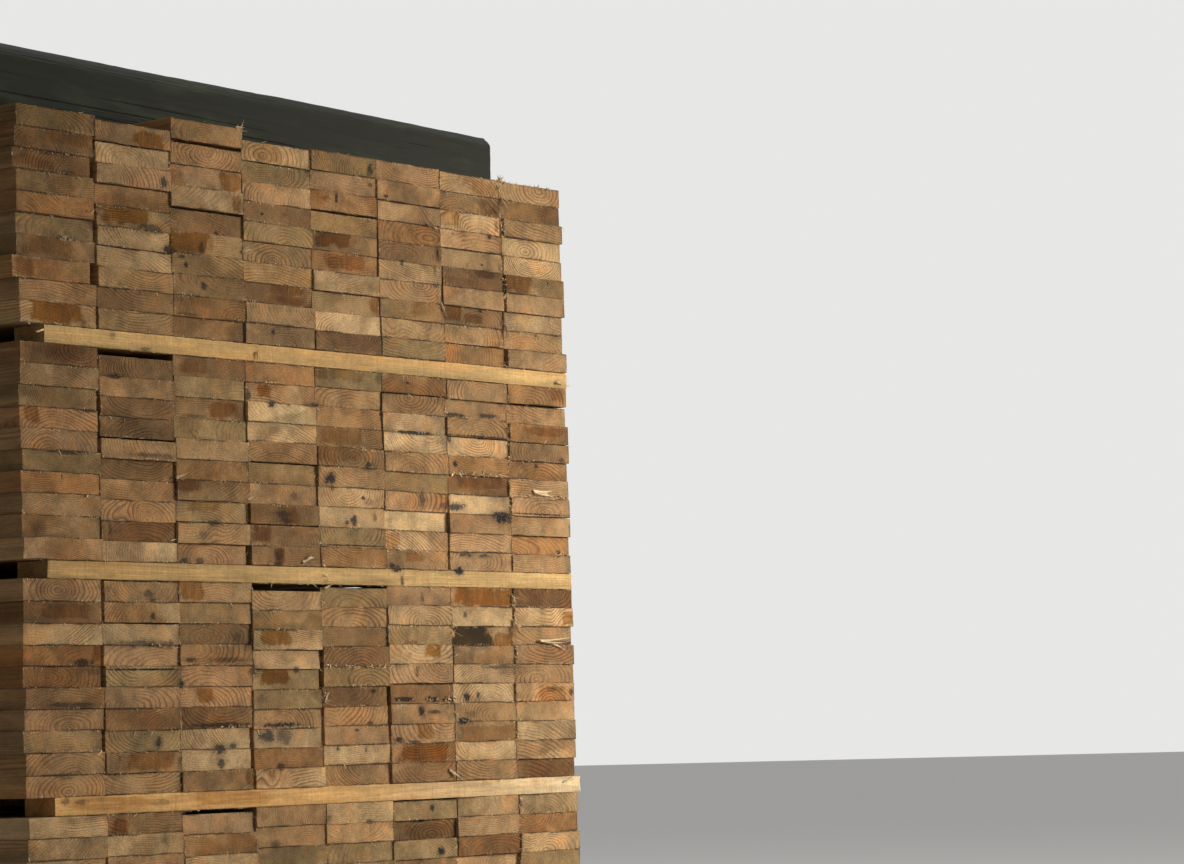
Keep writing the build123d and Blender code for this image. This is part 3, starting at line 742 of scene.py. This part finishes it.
def course_boards(node):
    """The boards of a course node, from -X to +X: sides, ends, and the heights of the underside
    and of the top along Y, read from the node's own points."""
    points = node_points(node)
    sides = np.sort(points[:, 0])
    sides = sides[np.concatenate([[True], np.diff(sides) > side_step])]
    boards = []
    for left, right in zip(sides[0::2], sides[1::2]):
        own = points[(points[:, 0] > left - side_slack) & (points[:, 0] < right + side_slack)]
        low, back = own[:, 2].min(), own[own[:, 1] > 0]
        thickness = back[:, 2].max() - back[:, 2].min()
        is_low = own[:, 2] < low + thickness / 2
        under, over = own[is_low], own[~is_low]
        under, over = under[np.argsort(under[:, 1])], over[np.argsort(over[:, 1])]
        boards.append({"left": left, "right": right, "front": own[:, 1].min(),
                       "back": own[:, 1].max(), "thickness": thickness,
                       "under": under[:, 1:], "over": over[:, 1:]})
    for board, beside in zip(boards[:-1], boards[1:]):
        gap = beside["left"] - board["right"]
        if gap < open_gap:
            middle = (beside["left"] + board["right"]) / 2
            board["right"], beside["left"] = middle - closed_gap / 2, middle + closed_gap / 2
    return boards


def look_of(key, rng):
    """A board's tone, rings and pith: random, but for the tone of the dark boards."""
    names = list(tone_shares)
    shares = np.array(list(tone_shares.values()))
    shares = shares / shares.sum()
    name = names[rng.choice(len(names), p=shares)]
    if key in dark_boards:
        name = "brown"
    other = names[rng.integers(len(names))]
    colour = np.array(tones[name]) * own_share + np.array(tones[other]) * other_share
    colour = colour * rng.uniform(*brightness)
    second = names[rng.choice(len(names), p=shares)]
    second = np.array(tones[second]) * rng.uniform(*second_brightness)
    share = second.sum() / colour.sum()
    step = np.clip(np.sqrt(share), 0.80, 1.26)
    colour, second = colour / step, (colour * 0.65 + second / share * 0.35) * step
    spacing = rng.uniform(*ring_spacing)
    depth = rng.uniform(*ring_depth)
    pith = np.array([rng.normal(0, 0.030), 0.0, rng.choice([-1, 1]) * rng.uniform(0.012, 0.085)])
    if rng.random() < 0.18:
        pith[0] = rng.choice([-1, 1]) * rng.uniform(0.06, 0.12)
    if rng.random() < 0.14:
        pith[2] = rng.uniform(-0.010, 0.010)
    lean = np.array([rng.normal(0, 0.006), rng.normal(0, 0.004)])
    return colour, second, spacing, depth, pith, lean


def unmarked(count):
    """Marks and patches of no darkness."""
    kinds = ("mark_", "reach_", "patch_mark_", "patch_reach_")
    return {kind + rank: filled(count, 1.0, 1.0, 0.0) for rank in ranks for kind in kinds}


def camera_axes():
    """The camera's right, top and ahead: yaw from +Y towards +X, pitch upwards, a small roll."""
    ahead = Vector((sin(camera_yaw) * cos(camera_pitch), cos(camera_yaw) * cos(camera_pitch),
                    sin(camera_pitch)))
    level = Vector((cos(camera_yaw), -sin(camera_yaw), 0.0))
    upright = level.cross(ahead)
    return (level * cos(camera_roll) + upright * sin(camera_roll),
            upright * cos(camera_roll) - level * sin(camera_roll), ahead)


def on_front(across, down, depth):
    """X and Z of photograph pixels on the plane Y = depth: the camera's ray, cut by the plane."""
    right, top, ahead = (np.array(axis) for axis in camera_axes())
    across = (np.asarray(across, float) - photo_width / 2) / focal_pixels
    down = (np.asarray(down, float) - photo_height / 2) / focal_pixels
    ray = ahead + across[..., None] * right - down[..., None] * top
    far = (depth - camera_place.y) / ray[..., 1]
    return np.stack([camera_place.x + ray[..., 0] * far, camera_place.z + ray[..., 2] * far], -1)


def photo_spots(table, centre, half, depth, spread):
    """The spots of a table that reach onto a board's end with a share of their size, in the
    board's own frame, the largest first: place and darkness, then half sizes and the rest."""
    x, y, wide, tall, dark, *more = np.array(table, float).T
    place = on_front(x, y, depth)
    reach = np.stack([(on_front(x + wide, y, depth) - place)[:, 0],
                      (on_front(x, y - tall, depth) - place)[:, 1]], -1)
    inside = half + reach * spread - np.abs(place - centre)
    shown = np.minimum(inside, 2 * reach).prod(1) * (inside > 0).all(1)
    last = more[0] if more else np.zeros(len(x))
    found = [k for k in np.argsort(-shown) if shown[k] > 0]
    return [((*(place[k] - centre), dark[k]), (*reach[k], last[k])) for k in found]


def put_spots(marked, in_front, centre, half, depth):
    """Gives the points in front the photograph's marks, which cross from board to board, and
    its patches, which lie within one board, as many as there is room for."""
    for table, kind, spread in ((marks, "", 1.1), (patches, "patch_", 0.0)):
        found = photo_spots(table, centre, half, depth, spread)
        for rank in ranks:
            if kind + "mark_" + rank in marked:
                place, reach = found.pop(0) if found else ((9.0, 9.0, 0.0), (1.0, 1.0, 0.0))
                marked[kind + "mark_" + rank][in_front] = place
                marked[kind + "reach_" + rank][in_front] = reach


def photo_rings(centre, half, depth):
    """The ring centre of a board's end, from its own frame, and the step between its rings."""
    x, y, centre_x, centre_y, step = np.array(centres).T
    on_board = (np.abs(on_front(x, y, depth) - centre) < half).all(1)
    if not on_board.any():
        return None
    k = on_board.argmax()
    place = on_front(centre_x[k], centre_y[k], depth) - centre
    rise = on_front(centre_x[k], centre_y[k] - step[k], depth)[1] - centre[1] - place[1]
    return (*place, rise * step_share)


def random_marks(rng, count, half_width, half_height):
    """Stains and heart wood that a board's hidden end may have: most have none or one."""
    marked = {}
    for chance, rank in zip((0.35, 0.12, 0.05), ranks):
        place = (rng.uniform(-1, 1) * half_width, rng.choice([-1, 1]) * half_height)
        dark = rng.uniform(0.4, 0.95) * (rng.random() < chance)
        size = (rng.uniform(0.003, 0.018), rng.uniform(0.003, 0.006))
        marked["mark_" + rank] = filled(count, *place, dark)
        marked["reach_" + rank] = filled(count, *size, 0.0)
    for chance, rank in zip((0.25, 0.06), ranks):
        dark = rng.uniform(0.4, 0.9) * (rng.random() < chance)
        size = (rng.uniform(0.2, 0.8) * half_width, 1.2 * half_height)
        marked["patch_mark_" + rank] = filled(count, rng.uniform(-1, 1) * half_width, 0.0, dark)
        marked["patch_reach_" + rank] = filled(count, *size, 0.0)
    return marked


def board_arrays(board, key):
    """One board on its place: a sawn stick between its underside and its top."""
    rng = seeded(*key)
    half_width = (board["right"] - board["left"]) / 2
    half_height = board["thickness"] / 2
    length = board["back"] - board["front"]
    section = section_places((half_width, half_height), board_chamfer, board_grid)
    stations = np.concatenate([from_front, length - from_back])
    cut = (rng.normal(0, 0.004), rng.normal(0, 0.008))
    local, faces, numbers = sawn_stick(section, stations, board_tear, rng, cut)
    count = len(local)
    y = local[:, 1] + board["front"]
    under = height_at(board["under"], y)
    over = height_at(board["over"], y)
    share = (local[:, 2] + half_height) / (2 * half_height)
    middle = (board["left"] + board["right"]) / 2
    points = np.stack([middle + local[:, 0], y, under + (over - under) * share], -1)
    colour, second, spacing, depth, pith, lean = look_of(key, rng)
    foot = height_at(board["under"], board["front"])
    centre = np.array([middle, foot + half_height])
    seen = photo_rings(centre, (half_width, half_height), board["front"])
    if seen is not None:
        pith, spacing, depth = np.array([seen[0], 0.0, seen[1]]), seen[2], max(depth, clear_ring_depth)
    marked = random_marks(rng, count, half_width, half_height)
    put_spots(marked, local[:, 1] < length / 2, centre, (half_width, half_height), board["front"])
    log = (local - pith) * (rng.uniform(*flattened), 1.0, 1.0)
    log[:, 0] += local[:, 1] * lean[0]
    log[:, 2] += local[:, 1] * lean[1]
    attributes = {
        **marked,
        "place": local,
        "log": log,
        "tone": filled(count, *colour),
        "second": filled(count, *second),
        "rings": filled(count, spacing, depth, rng.uniform(0, 20)),
        "half": filled(count, half_width, half_height, 0.0),
        "core": filled(count, rng.uniform(0.0, 0.085), rng.choice([0.0, rng.uniform(0.09, 0.30)]), 1.0),
    }
    return points, faces, numbers, attributes


def make_boards():
    """One piece for each course, in the place of its node."""
    finishes = [wood("board_end_grain", True, "across"), wood("board_long_face", False, contrast=0.7)]
    rows = {}
    for tier in range(1, tiers + 1):
        for course in range(1, courses + 1):
            node = f"tier_{tier}_course_{course:02d}"
            boards = course_boards(node)
            rows[tier, course] = boards
            arrays = joined_arrays([board_arrays(board, (tier, column, course))
                                    for column, board in enumerate(boards, 1)])
            piece = made(f"boards_{tier}_{course:02d}", *arrays[:2], finishes, *arrays[2:])
            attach(piece, "root")
            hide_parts(node)
    return rows


def solid_boxes(node):
    """The boxes of a node's separate solids, told apart by their heights."""
    points = node_points(node)
    heights = np.unique(points[:, 2].round(5))
    boxes = []
    for low, high in zip(heights[0::2], heights[1::2]):
        own = points[(points[:, 2] > low - height_slack) & (points[:, 2] < high + height_slack)]
        boxes.append((own.min(0), own.max(0)))
    return boxes


def lath_arrays(box, level, row):
    """One lath: a sawn stick that lies along X, with its across direction towards -Y."""
    rng = seeded(90, level, row)
    low, high = box
    size, middle = high - low, (high + low) / 2
    section = section_places(size[1:] / 2, lath_chamfer, lath_grid)
    count = 150 if row == 1 else 40
    inner = np.linspace(0.004, size[0] - 0.004, count)
    stations = np.concatenate([[0, 0.0012], inner, [size[0] - 0.0012, size[0]]])
    local, faces, numbers = sawn_stick(section, stations, lath_tear, rng, (0.01, 0.02))
    wave = np.interp(local[:, 1], stations, rng.normal(0, 1, len(stations)))
    slow = np.sin(local[:, 1] * 9 + rng.uniform(0, 6)) * 0.0005
    rim = np.abs(local[:, 2]) / (size[2] / 2)
    local[:, 2] = local[:, 2] * (1 - 0.022 * np.abs(wave) * rim)
    points = np.stack([low[0] + local[:, 1], middle[1] - local[:, 0] + slow,
                       middle[2] + local[:, 2]], -1)
    count = len(points)
    place = local.copy()
    place[:, 1] -= size[0] / 2
    pith = np.array([rng.uniform(-0.05, 0.05), 0.0, rng.uniform(0.02, 0.06)])
    log = place - pith
    log[:, 0] += place[:, 1] * rng.normal(0, 0.02)
    log[:, 2] += place[:, 1] * rng.normal(0, 0.012)
    # The lath's tones hold painted light that makes up for the shade between the tiers
    shades = np.array(lath_tones[level])
    stops = np.linspace(0, size[0], len(shades))
    tone = np.stack([np.interp(local[:, 1], stops, channel) for channel in shades.T], -1)
    tone = tone * rng.uniform(0.96, 1.04)
    marked = unmarked(count)
    if row == 1:
        half = np.array([size[0], size[2]]) / 2
        put_spots(marked, local[:, 0] > size[1] / 2 - 0.002, middle[[0, 2]], half, low[1])
    attributes = {
        "place": place,
        "log": log,
        "tone": tone,
        "rings": filled(count, rng.uniform(*lath_ring_spacing), 0.8, rng.uniform(0, 20)),
        "second": tone * 0.88,
        **marked,
        "half": filled(count, size[1] / 2, size[2] / 2, 0.0),
        "core": filled(count, 0.0, 0.0, 0.994),
    }
    return points, faces, numbers, attributes


def make_laths():
    """One piece for each row of laths: its three laths lie one above the other."""
    finishes = [wood("lath_end_grain", True, dirt_and_seam_shade=0.6),
                wood("lath_long_face", False, "along", contrast=0.22, dirt_and_seam_shade=0.3)]
    for row in range(1, lath_rows + 1):
        node = f"lath_row_{row}"
        boxes = solid_boxes(node)
        arrays = joined_arrays([lath_arrays(box, level, row) for level, box in enumerate(boxes)])
        piece = made(f"laths_{row}", *arrays[:2], finishes, *arrays[2:])
        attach(piece, "root")
        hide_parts(node)


def bearer_arrays(length, width, height, rng, tone, knots):
    """A cant with wane in its own frame: across, along, up from its pith. Round the pith, the
    section reaches out to the flat sawn faces or to the log's round skin, whichever is nearer.
    The skin is rough, and swells gently along the log. Both ends close in rings to the pith."""
    turns, count = 120, 72
    angle = np.arange(turns) * 2 * pi / turns
    ends = np.array([0, 0.001, 0.004])
    stations = np.concatenate([ends, np.linspace(0.015, length - 0.015, count), length - ends[::-1]])
    centre = log_centre_share * height
    with np.errstate(divide="ignore"):
        flat = np.minimum(width / 2 / np.abs(np.cos(angle)),
                          np.where(np.sin(angle) > 0, height - centre, centre) / np.abs(np.sin(angle)))
    share = stations / length
    skin = log_thin_radius + (log_thick_radius - log_thin_radius) * share[:, None]
    swell = log_swell * np.sin(share[:, None] * 9 + angle[None, :] * 2 + knots)
    rough = skin_roughness * rng.normal(0, 1, (len(stations), turns))
    sawn = flat[None, :] - saw_roughness * np.abs(rng.normal(0, 1, (len(stations), turns)))
    reach = np.minimum(sawn, skin + swell - np.abs(rough))
    reach[[0, -1]] -= end_wear
    side = np.stack([reach * np.cos(angle), np.broadcast_to(stations[:, None], reach.shape),
                     reach * np.sin(angle)], -1)
    points = [side.reshape(-1, 3)]
    wrap = np.arange(turns + 1) % turns
    index = np.arange(len(stations))[:, None] * turns + wrap[None, :]
    faces = [grid_faces(index)[:, ::-1]]
    numbers = [np.ones(len(faces[0]), int)]
    start = side.shape[0] * turns
    shares = np.array([0.92, 0.75, 0.5, 0.25])
    for station, flip in ((0, False), (len(stations) - 1, True)):
        rings = reach[station][None, :] * shares[:, None]
        cap = np.stack([rings * np.cos(angle), np.full(rings.shape, stations[station]),
                        rings * np.sin(angle)], -1).reshape(-1, 3)
        points += [cap, np.array([[0.0, stations[station], 0.0]])]
        outer = station * turns + wrap
        inner = start + np.arange(len(shares))[:, None] * turns + wrap[None, :]
        cap_faces = grid_faces(np.concatenate([outer[None, :], inner]))
        pole = start + len(cap)
        fan = np.stack([inner[-1, :-1], np.full(turns, pole), inner[-1, 1:], inner[-1, 1:]], -1)
        cap_faces = np.concatenate([cap_faces, fan])
        if not flip:
            cap_faces = np.where(cap_faces[:, 3:] == cap_faces[:, 2:3],
                                 cap_faces[:, [1, 0, 2, 2]], cap_faces[:, ::-1])
        faces.append(cap_faces)
        numbers.append(np.zeros(len(cap_faces), int))
        start = pole + 1
    local = np.concatenate(points)
    place = local.copy()
    place[:, 1] -= length / 2
    log = place + np.array([0.0004, 0.0, 0.0004])
    log[:, 0] += log_bow * np.sin(place[:, 1] * 3.0)
    rows = len(local)
    attributes = {
        "place": place,
        "log": log,
        "tone": filled(rows, *tone),
        "rings": filled(rows, 0.0030, 0.75, rng.uniform(0, 20)),
        "second": filled(rows, *tone),
        "half": filled(rows, 0.5, 0.5, 0.0),
        "core": filled(rows, 0.035, 0.6, 1.0),
    }
    return local, np.concatenate(faces), np.concatenate(numbers), attributes


def make_bearers():
    """Bottom bearers in plain sawn wood, and top ones weathered grey-green and darkened to near black
    as painted shade, which lean as their nodes do: the lean is read from the height of the node's
    underside at its two ends."""
    plain = [wood("bearer_end_grain", True, dirt_and_seam_shade=0.7), wood("bearer_face", False, contrast=0.6)]
    grey = [weathered("old_bearer_end", True), weathered("old_bearer_face", False)]
    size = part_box("bottom_bearer_middle")[1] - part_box("bottom_bearer_middle")[0]
    for side, finishes, tone in (("bottom", plain, bearer_tone), ("top", grey, shaded_old_bearer_tone)):
        for spot, name in enumerate(("front", "middle", "rear")):
            node = f"{side}_bearer_{name}"
            points = node_points(node)
            left = points[points[:, 0] < -size.x / 3]
            right = points[points[:, 0] > size.x / 3]
            left_foot = left[left[:, 2].argmin()]
            right_foot = right[right[:, 2].argmin()]
            lean = atan2(right_foot[2] - left_foot[2], right_foot[0] - left_foot[0])
            rng = seeded(50, side == "top", spot)
            local, faces, numbers, attributes = bearer_arrays(
                hypot(right_foot[0] - left_foot[0], right_foot[2] - left_foot[2]), size.y, size.z,
                rng, tone, spot * 2.1)
            raised = local[:, 2] + log_centre_share * size.z
            middle = (points[:, 1].min() + points[:, 1].max()) / 2
            world = np.stack([left_foot[0] + local[:, 1] * cos(lean) - raised * sin(lean),
                              middle - local[:, 0],
                              left_foot[2] + local[:, 1] * sin(lean) + raised * cos(lean)], -1)
            piece = made(f"{side}_cant_{name}", world, faces, finishes, numbers, attributes)
            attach(piece, "root")
            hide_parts(node)


def fibre_arrays(roots, ways, lengths, widths, bends, rng):
    """Torn fibres as thin three-sided spikes: a fibre's middle line runs from its root along
    its way and bends sideways with the square of the distance, and its width falls to a point."""
    count = len(roots)
    shares = np.array([0.0, 0.35, 0.7, 1.0])
    thin = np.array([1.0, 0.8, 0.5, 0.06])
    ways = ways / np.linalg.norm(ways, axis=1, keepdims=True)
    helper = np.where(np.abs(ways[:, 2:]) < 0.9, [[0.0, 0.0, 1.0]], [[1.0, 0.0, 0.0]])
    side = np.cross(ways, helper)
    side /= np.linalg.norm(side, axis=1, keepdims=True)
    other = np.cross(ways, side)
    line = roots[:, None] + ways[:, None] * (lengths[:, None] * shares)[..., None]
    line = line + bends[:, None] * (lengths[:, None] * shares ** 2)[..., None]
    angle = np.arange(3) * 2 * pi / 3 + 0.3
    ring = side[:, None, None] * np.cos(angle)[:, None] + other[:, None, None] * np.sin(angle)[:, None]
    points = line[:, :, None] + ring * (widths[:, None] * thin)[..., None, None]
    points = points.reshape(-1, 3)
    base = (np.arange(count) * 12)[:, None, None] + (np.arange(4) * 3)[None, :, None]
    index = base + (np.arange(4) % 3)[None, None, :]
    quads = np.stack([index[:, :-1, :-1], index[:, :-1, 1:], index[:, 1:, 1:], index[:, 1:, :-1]], -1)
    root = np.stack([index[:, 0, 2], index[:, 0, 1], index[:, 0, 0], index[:, 0, 0]], -1)
    tip = np.stack([index[:, 3, 0], index[:, 3, 1], index[:, 3, 2], index[:, 3, 2]], -1)
    faces = np.concatenate([quads.reshape(-1, 4), root, tip])
    # The fibres' pale tone is partly a painted highlight, raised to the brightness of torn fibres that
    # catch the light
    tone = np.repeat(rng.uniform(0.70, 1.2, count), 12)[:, None] * np.array([[0.68, 0.52, 0.32]])
    return points, faces, np.zeros(len(faces), int), {"tone": tone}


def torn_fibre():
    """Torn wood fibre: pale and dry, a little darker along its length. Its paleness is partly a painted
    highlight.
    """
    f = Finish("torn_fibre", Specular_IOR_Level=0.2)
    where = f.node("ShaderNodeTexCoord", None, None, "Object")
    shade = f.noise(where, 120.0, 2.0)
    colour = f.scaled(f.attribute("tone", "Color"), 0.6 + shade * 0.8)
    return f.wear(colour, 0.85 + shade * 0.1, shade, 0.0003)


def saw_tufts(rows, rng, add):
    """A few fibres on every board's edge at both ends, and thick tufts down the seam between the
    last two columns and on the top courses of the front end."""
    for (tier, course), boards in rows.items():
        for column, board in enumerate(boards, 1):
            for end, way in (("front", -1.0), ("back", 1.0)):
                count = int(rng.integers(3, 10))
                at_top = tier == tiers and course >= courses - 1
                many = end == "front" and (column >= columns - 1 or at_top)
                if many:
                    count += int(rng.integers(4, 10))
                under = height_at(board["under"], board[end])
                across = rng.uniform(board["left"] + 0.001, board["right"] - 0.001, count)
                on_side = rng.random(count) < (0.6 if many else 0.35)
                across = np.where(on_side, board["left" if column == columns else "right"], across)
                raise_by = np.where(on_side, rng.uniform(0, board["thickness"], count),
                                    rng.choice([0.0, board["thickness"]], count))
                roots = np.stack([across, np.full(count, board[end] - way * 0.0005),
                                  under + raise_by], -1)
                ways = rng.normal(0, 0.45, (count, 3))
                ways[:, 1] = way * rng.uniform(0.3, 1.0, count)
                ways[:, 2] -= 0.5
                add(roots, ways, rng.gamma(2.0, 0.0016, count) + 0.0015,
                    rng.uniform(0.0002, 0.0007, count), 0.35)


def frayed_laths(rng, add):
    """A frayed right end on each front lath, and short fibres along its front edges."""
    for level, (low, high) in enumerate(solid_boxes("lath_row_1")):
        count = 34 if level == 2 else 12
        roots = np.stack([np.full(count, high[0] - 0.002),
                          rng.uniform(low[1] + 0.001, low[1] + 0.02, count),
                          rng.uniform(low[2], high[2], count)], -1)
        ways = np.stack([np.ones(count), rng.normal(-0.15, 0.15, count),
                         rng.normal(0, 0.12, count)], -1)
        add(roots, ways, rng.uniform(0.004, 0.011, count), rng.uniform(0.0004, 0.0009, count), 0.15)
        count = 130
        x = rng.uniform(low[0], high[0], count)
        z = rng.choice([low[2], high[2]], count)
        roots = np.stack([x, np.full(count, low[1] + 0.0004), z], -1)
        ways = np.stack([rng.choice([-1.0, 1.0], count), rng.normal(-0.5, 0.2, count),
                         np.where(z > (low[2] + high[2]) / 2, 0.35, -0.35)], -1)
        add(roots, ways, rng.gamma(2.0, 0.0018, count) + 0.001,
            rng.uniform(0.00015, 0.0004, count), 0.3)


def top_tufts(top, rng, add):
    """Upright tufts on the front edge of three boards of the top course: column, count, reach."""
    for column, count, reach in ((3, 6, 0.011), (7, 26, 0.008), (8, 14, 0.006)):
        board = top[column - 1]
        z = height_at(board["over"], board["front"])
        if column < columns:
            x = board["right"] - np.abs(rng.normal(0, 0.004, count))
        else:
            x = rng.uniform(board["left"], board["right"], count)
        roots = np.stack([x, np.full(count, board["front"] + 0.001), np.full(count, z - 0.001)], -1)
        ways = np.stack([rng.normal(0.2, 0.4, count), rng.normal(-0.3, 0.3, count),
                         np.ones(count)], -1)
        add(roots, ways, rng.uniform(0.4, 1.0, count) * reach,
            rng.uniform(0.0003, 0.0009, count), 0.4)


def torn_spots(rows, rng, add):
    """The splinters and the torn edges of the front end, on the foremost board near them."""
    fronts = np.array([(board["left"], board["right"], board["under"][0, 1], board["over"][0, 1],
                        board["front"]) for boards in rows.values() for board in boards])

    def front_near(x, y):
        """The Y of the foremost board end round a pixel."""
        spot = on_front(x, y, fronts[:, 4].mean())
        off = np.abs(fronts[:, :2].mean(1) - spot[0]) + 3 * np.abs(fronts[:, 2:4].mean(1) - spot[1])
        return fronts[off < front_reach, 4].min()

    for x, y, tip_x, tip_y, width, count in splinters:
        front = front_near(x, y)
        root, tip = on_front(x, y, front), on_front(tip_x, tip_y, front)
        way = np.array([tip[0] - root[0], -0.0015, tip[1] - root[1]])
        length = np.linalg.norm(way)
        roots = np.array([root[0], front, root[1]]) + rng.normal(0, 0.0008, (count, 3))
        roots[:, 1] = front - np.abs(roots[:, 1] - front)
        ways = way + rng.normal(0, 0.05 if count < 6 else 0.2, (count, 3)) * length
        add(roots, ways, length * rng.uniform(0.5, 1.0, count),
            width / 1000 * rng.uniform(0.4, 0.9, count), 0.1)
    for x, y, end_x, end_y, count in torn_edges:
        front = front_near((x + end_x) / 2, (y + end_y) / 2)
        share = rng.random(count)
        spots = on_front(x + (end_x - x) * share, y + (end_y - y) * share, front)
        roots = np.stack([spots[:, 0], np.full(count, front + 0.0003), spots[:, 1]], -1)
        ways = rng.normal((0.0, -0.5, 0.3), (0.6, 0.2, 0.5), (count, 3))
        add(roots, ways, rng.uniform(0.0020, 0.0060, count), rng.uniform(0.0004, 0.0013, count), 0.4)


def make_fibres(rows):
    """The fibres that the saw left, as one piece."""
    rng = seeded(61)
    sets = []

    def add(roots, ways, lengths, widths, bend):
        """Keeps a set of fibres, and draws how far each of them bends."""
        sets.append((roots, ways, lengths, widths, rng.normal(0, bend, (len(roots), 3))))

    saw_tufts(rows, rng, add)
    frayed_laths(rng, add)
    top_tufts(rows[tiers, courses], rng, add)
    torn_spots(rows, rng, add)
    arrays = [np.concatenate([s[k] for s in sets]) for k in range(5)]
    points, faces, numbers, attributes = fibre_arrays(*arrays, rng)
    piece = made("saw_fibres", points, faces, [torn_fibre()], numbers, attributes)
    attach(piece, "root")


def dress_straps():
    """The straps and seals keep their nodes' shapes and get their finishes."""
    black, zinc = enamelled_strap(), crimped_steel()
    for name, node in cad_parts.items():
        if name.startswith("strap_"):
            node.data.materials.clear()
            node.data.materials.append(zinc if name == "strap_seals" else black)


def make_floor():
    """A plain pale floor, large enough to run out of sight."""
    corners = [(x * floor_reach, y * floor_reach, 0) for x, y in ((-1, -1), (1, -1), (1, 1), (-1, 1))]
    mesh = bpy.data.meshes.new("floor")
    mesh.from_pydata(corners, [], [(0, 1, 2, 3)])
    floor = bpy.data.objects.new("floor", mesh)
    bpy.context.scene.collection.objects.link(floor)
    f = Finish("pale_floor", Specular_IOR_Level=0.1, Base_Color=floor_colour, Roughness=0.9)
    glow = f.node("ShaderNodeEmission", None, {"Color": floor_glow, "Strength": floor_glow_strength})
    unseen = f.node("ShaderNodeEmission", None, {"Strength": 0.0})
    lift = f.node("ShaderNodeMixShader", None, {0: f.seen(), 1: unseen, 2: glow})
    lit = Socket(f, f.shader.outputs[0])
    both = f.node("ShaderNodeAddShader", None, {0: lit, 1: lift})
    f.tree.links.new(both.socket, f.tree.nodes["Material Output"].inputs["Surface"])
    mesh.materials.append(f.material)


def make_light(name, place, aim, colour, size, power, beam=180):
    """A soft square lamp at a place, turned towards what it lights, its beam in degrees."""
    lamp = bpy.data.lights.new(name, "AREA")
    lamp.size = size
    lamp.spread = radians(beam)
    lamp.energy = power
    lamp.color = colour
    holder = bpy.data.objects.new(name, lamp)
    holder.location = place
    holder.rotation_euler = (Vector(aim) - Vector(place)).to_track_quat("-Z", "Y").to_euler()
    bpy.context.scene.collection.objects.link(holder)


def make_lights():
    """A warm key from the right of the front end, and an even pale surround."""
    make_light("key", (3.0, -3.7, 1.5), (0.75, -1.5, 0.75), (1.0, 0.95, 0.87),
               size=1.3, power=18.4, beam=44)
    make_light("front_fill", (0.8, -5.5, 2.4), (0.0, -1.5, 0.6), (1.0, 0.97, 0.93), size=2.5, power=8.0)
    make_light("top_soft", (1.2, 0.5, 5.0), (0.0, 0.0, 0.5), (1.0, 0.98, 0.95), size=4.0, power=130.0)
    world = bpy.data.worlds.new("surround")
    world.use_nodes = True
    graph = Graph(world.node_tree)
    surround = graph.tree.nodes["Background"]
    surround.inputs["Color"].default_value = (1.0, 1.0, 1.0, 1.0)
    surround.inputs["Strength"].default_value = surround_strength
    shown = graph.node("ShaderNodeBackground", None, {"Color": surround_shown, "Strength": 1.0})
    choice = graph.node("ShaderNodeMixShader", None,
                        {0: graph.seen(), 1: Socket(graph, surround.outputs[0]), 2: shown})
    graph.tree.links.new(choice.socket, graph.tree.nodes["World Output"].inputs["Surface"])
    bpy.context.scene.world = world


def make_camera():
    """The photograph's viewpoint."""
    right, top, ahead = camera_axes()
    camera = bpy.data.cameras.new("camera")
    camera.sensor_width = sensor_width
    camera.lens = focal_pixels / photo_width * sensor_width
    camera.clip_end = 200.0
    holder = bpy.data.objects.new("camera", camera)
    turned = Matrix((right, top, -ahead)).transposed().to_4x4()
    holder.matrix_world = Matrix.Translation(camera_place) @ turned
    bpy.context.scene.collection.objects.link(holder)
    bpy.context.scene.camera = holder


board_rows = make_boards()
make_laths()
make_bearers()
make_fibres(board_rows)
dress_straps()
make_floor()
make_lights()
make_camera()
bpy.context.scene.view_settings.view_transform = "Standard"
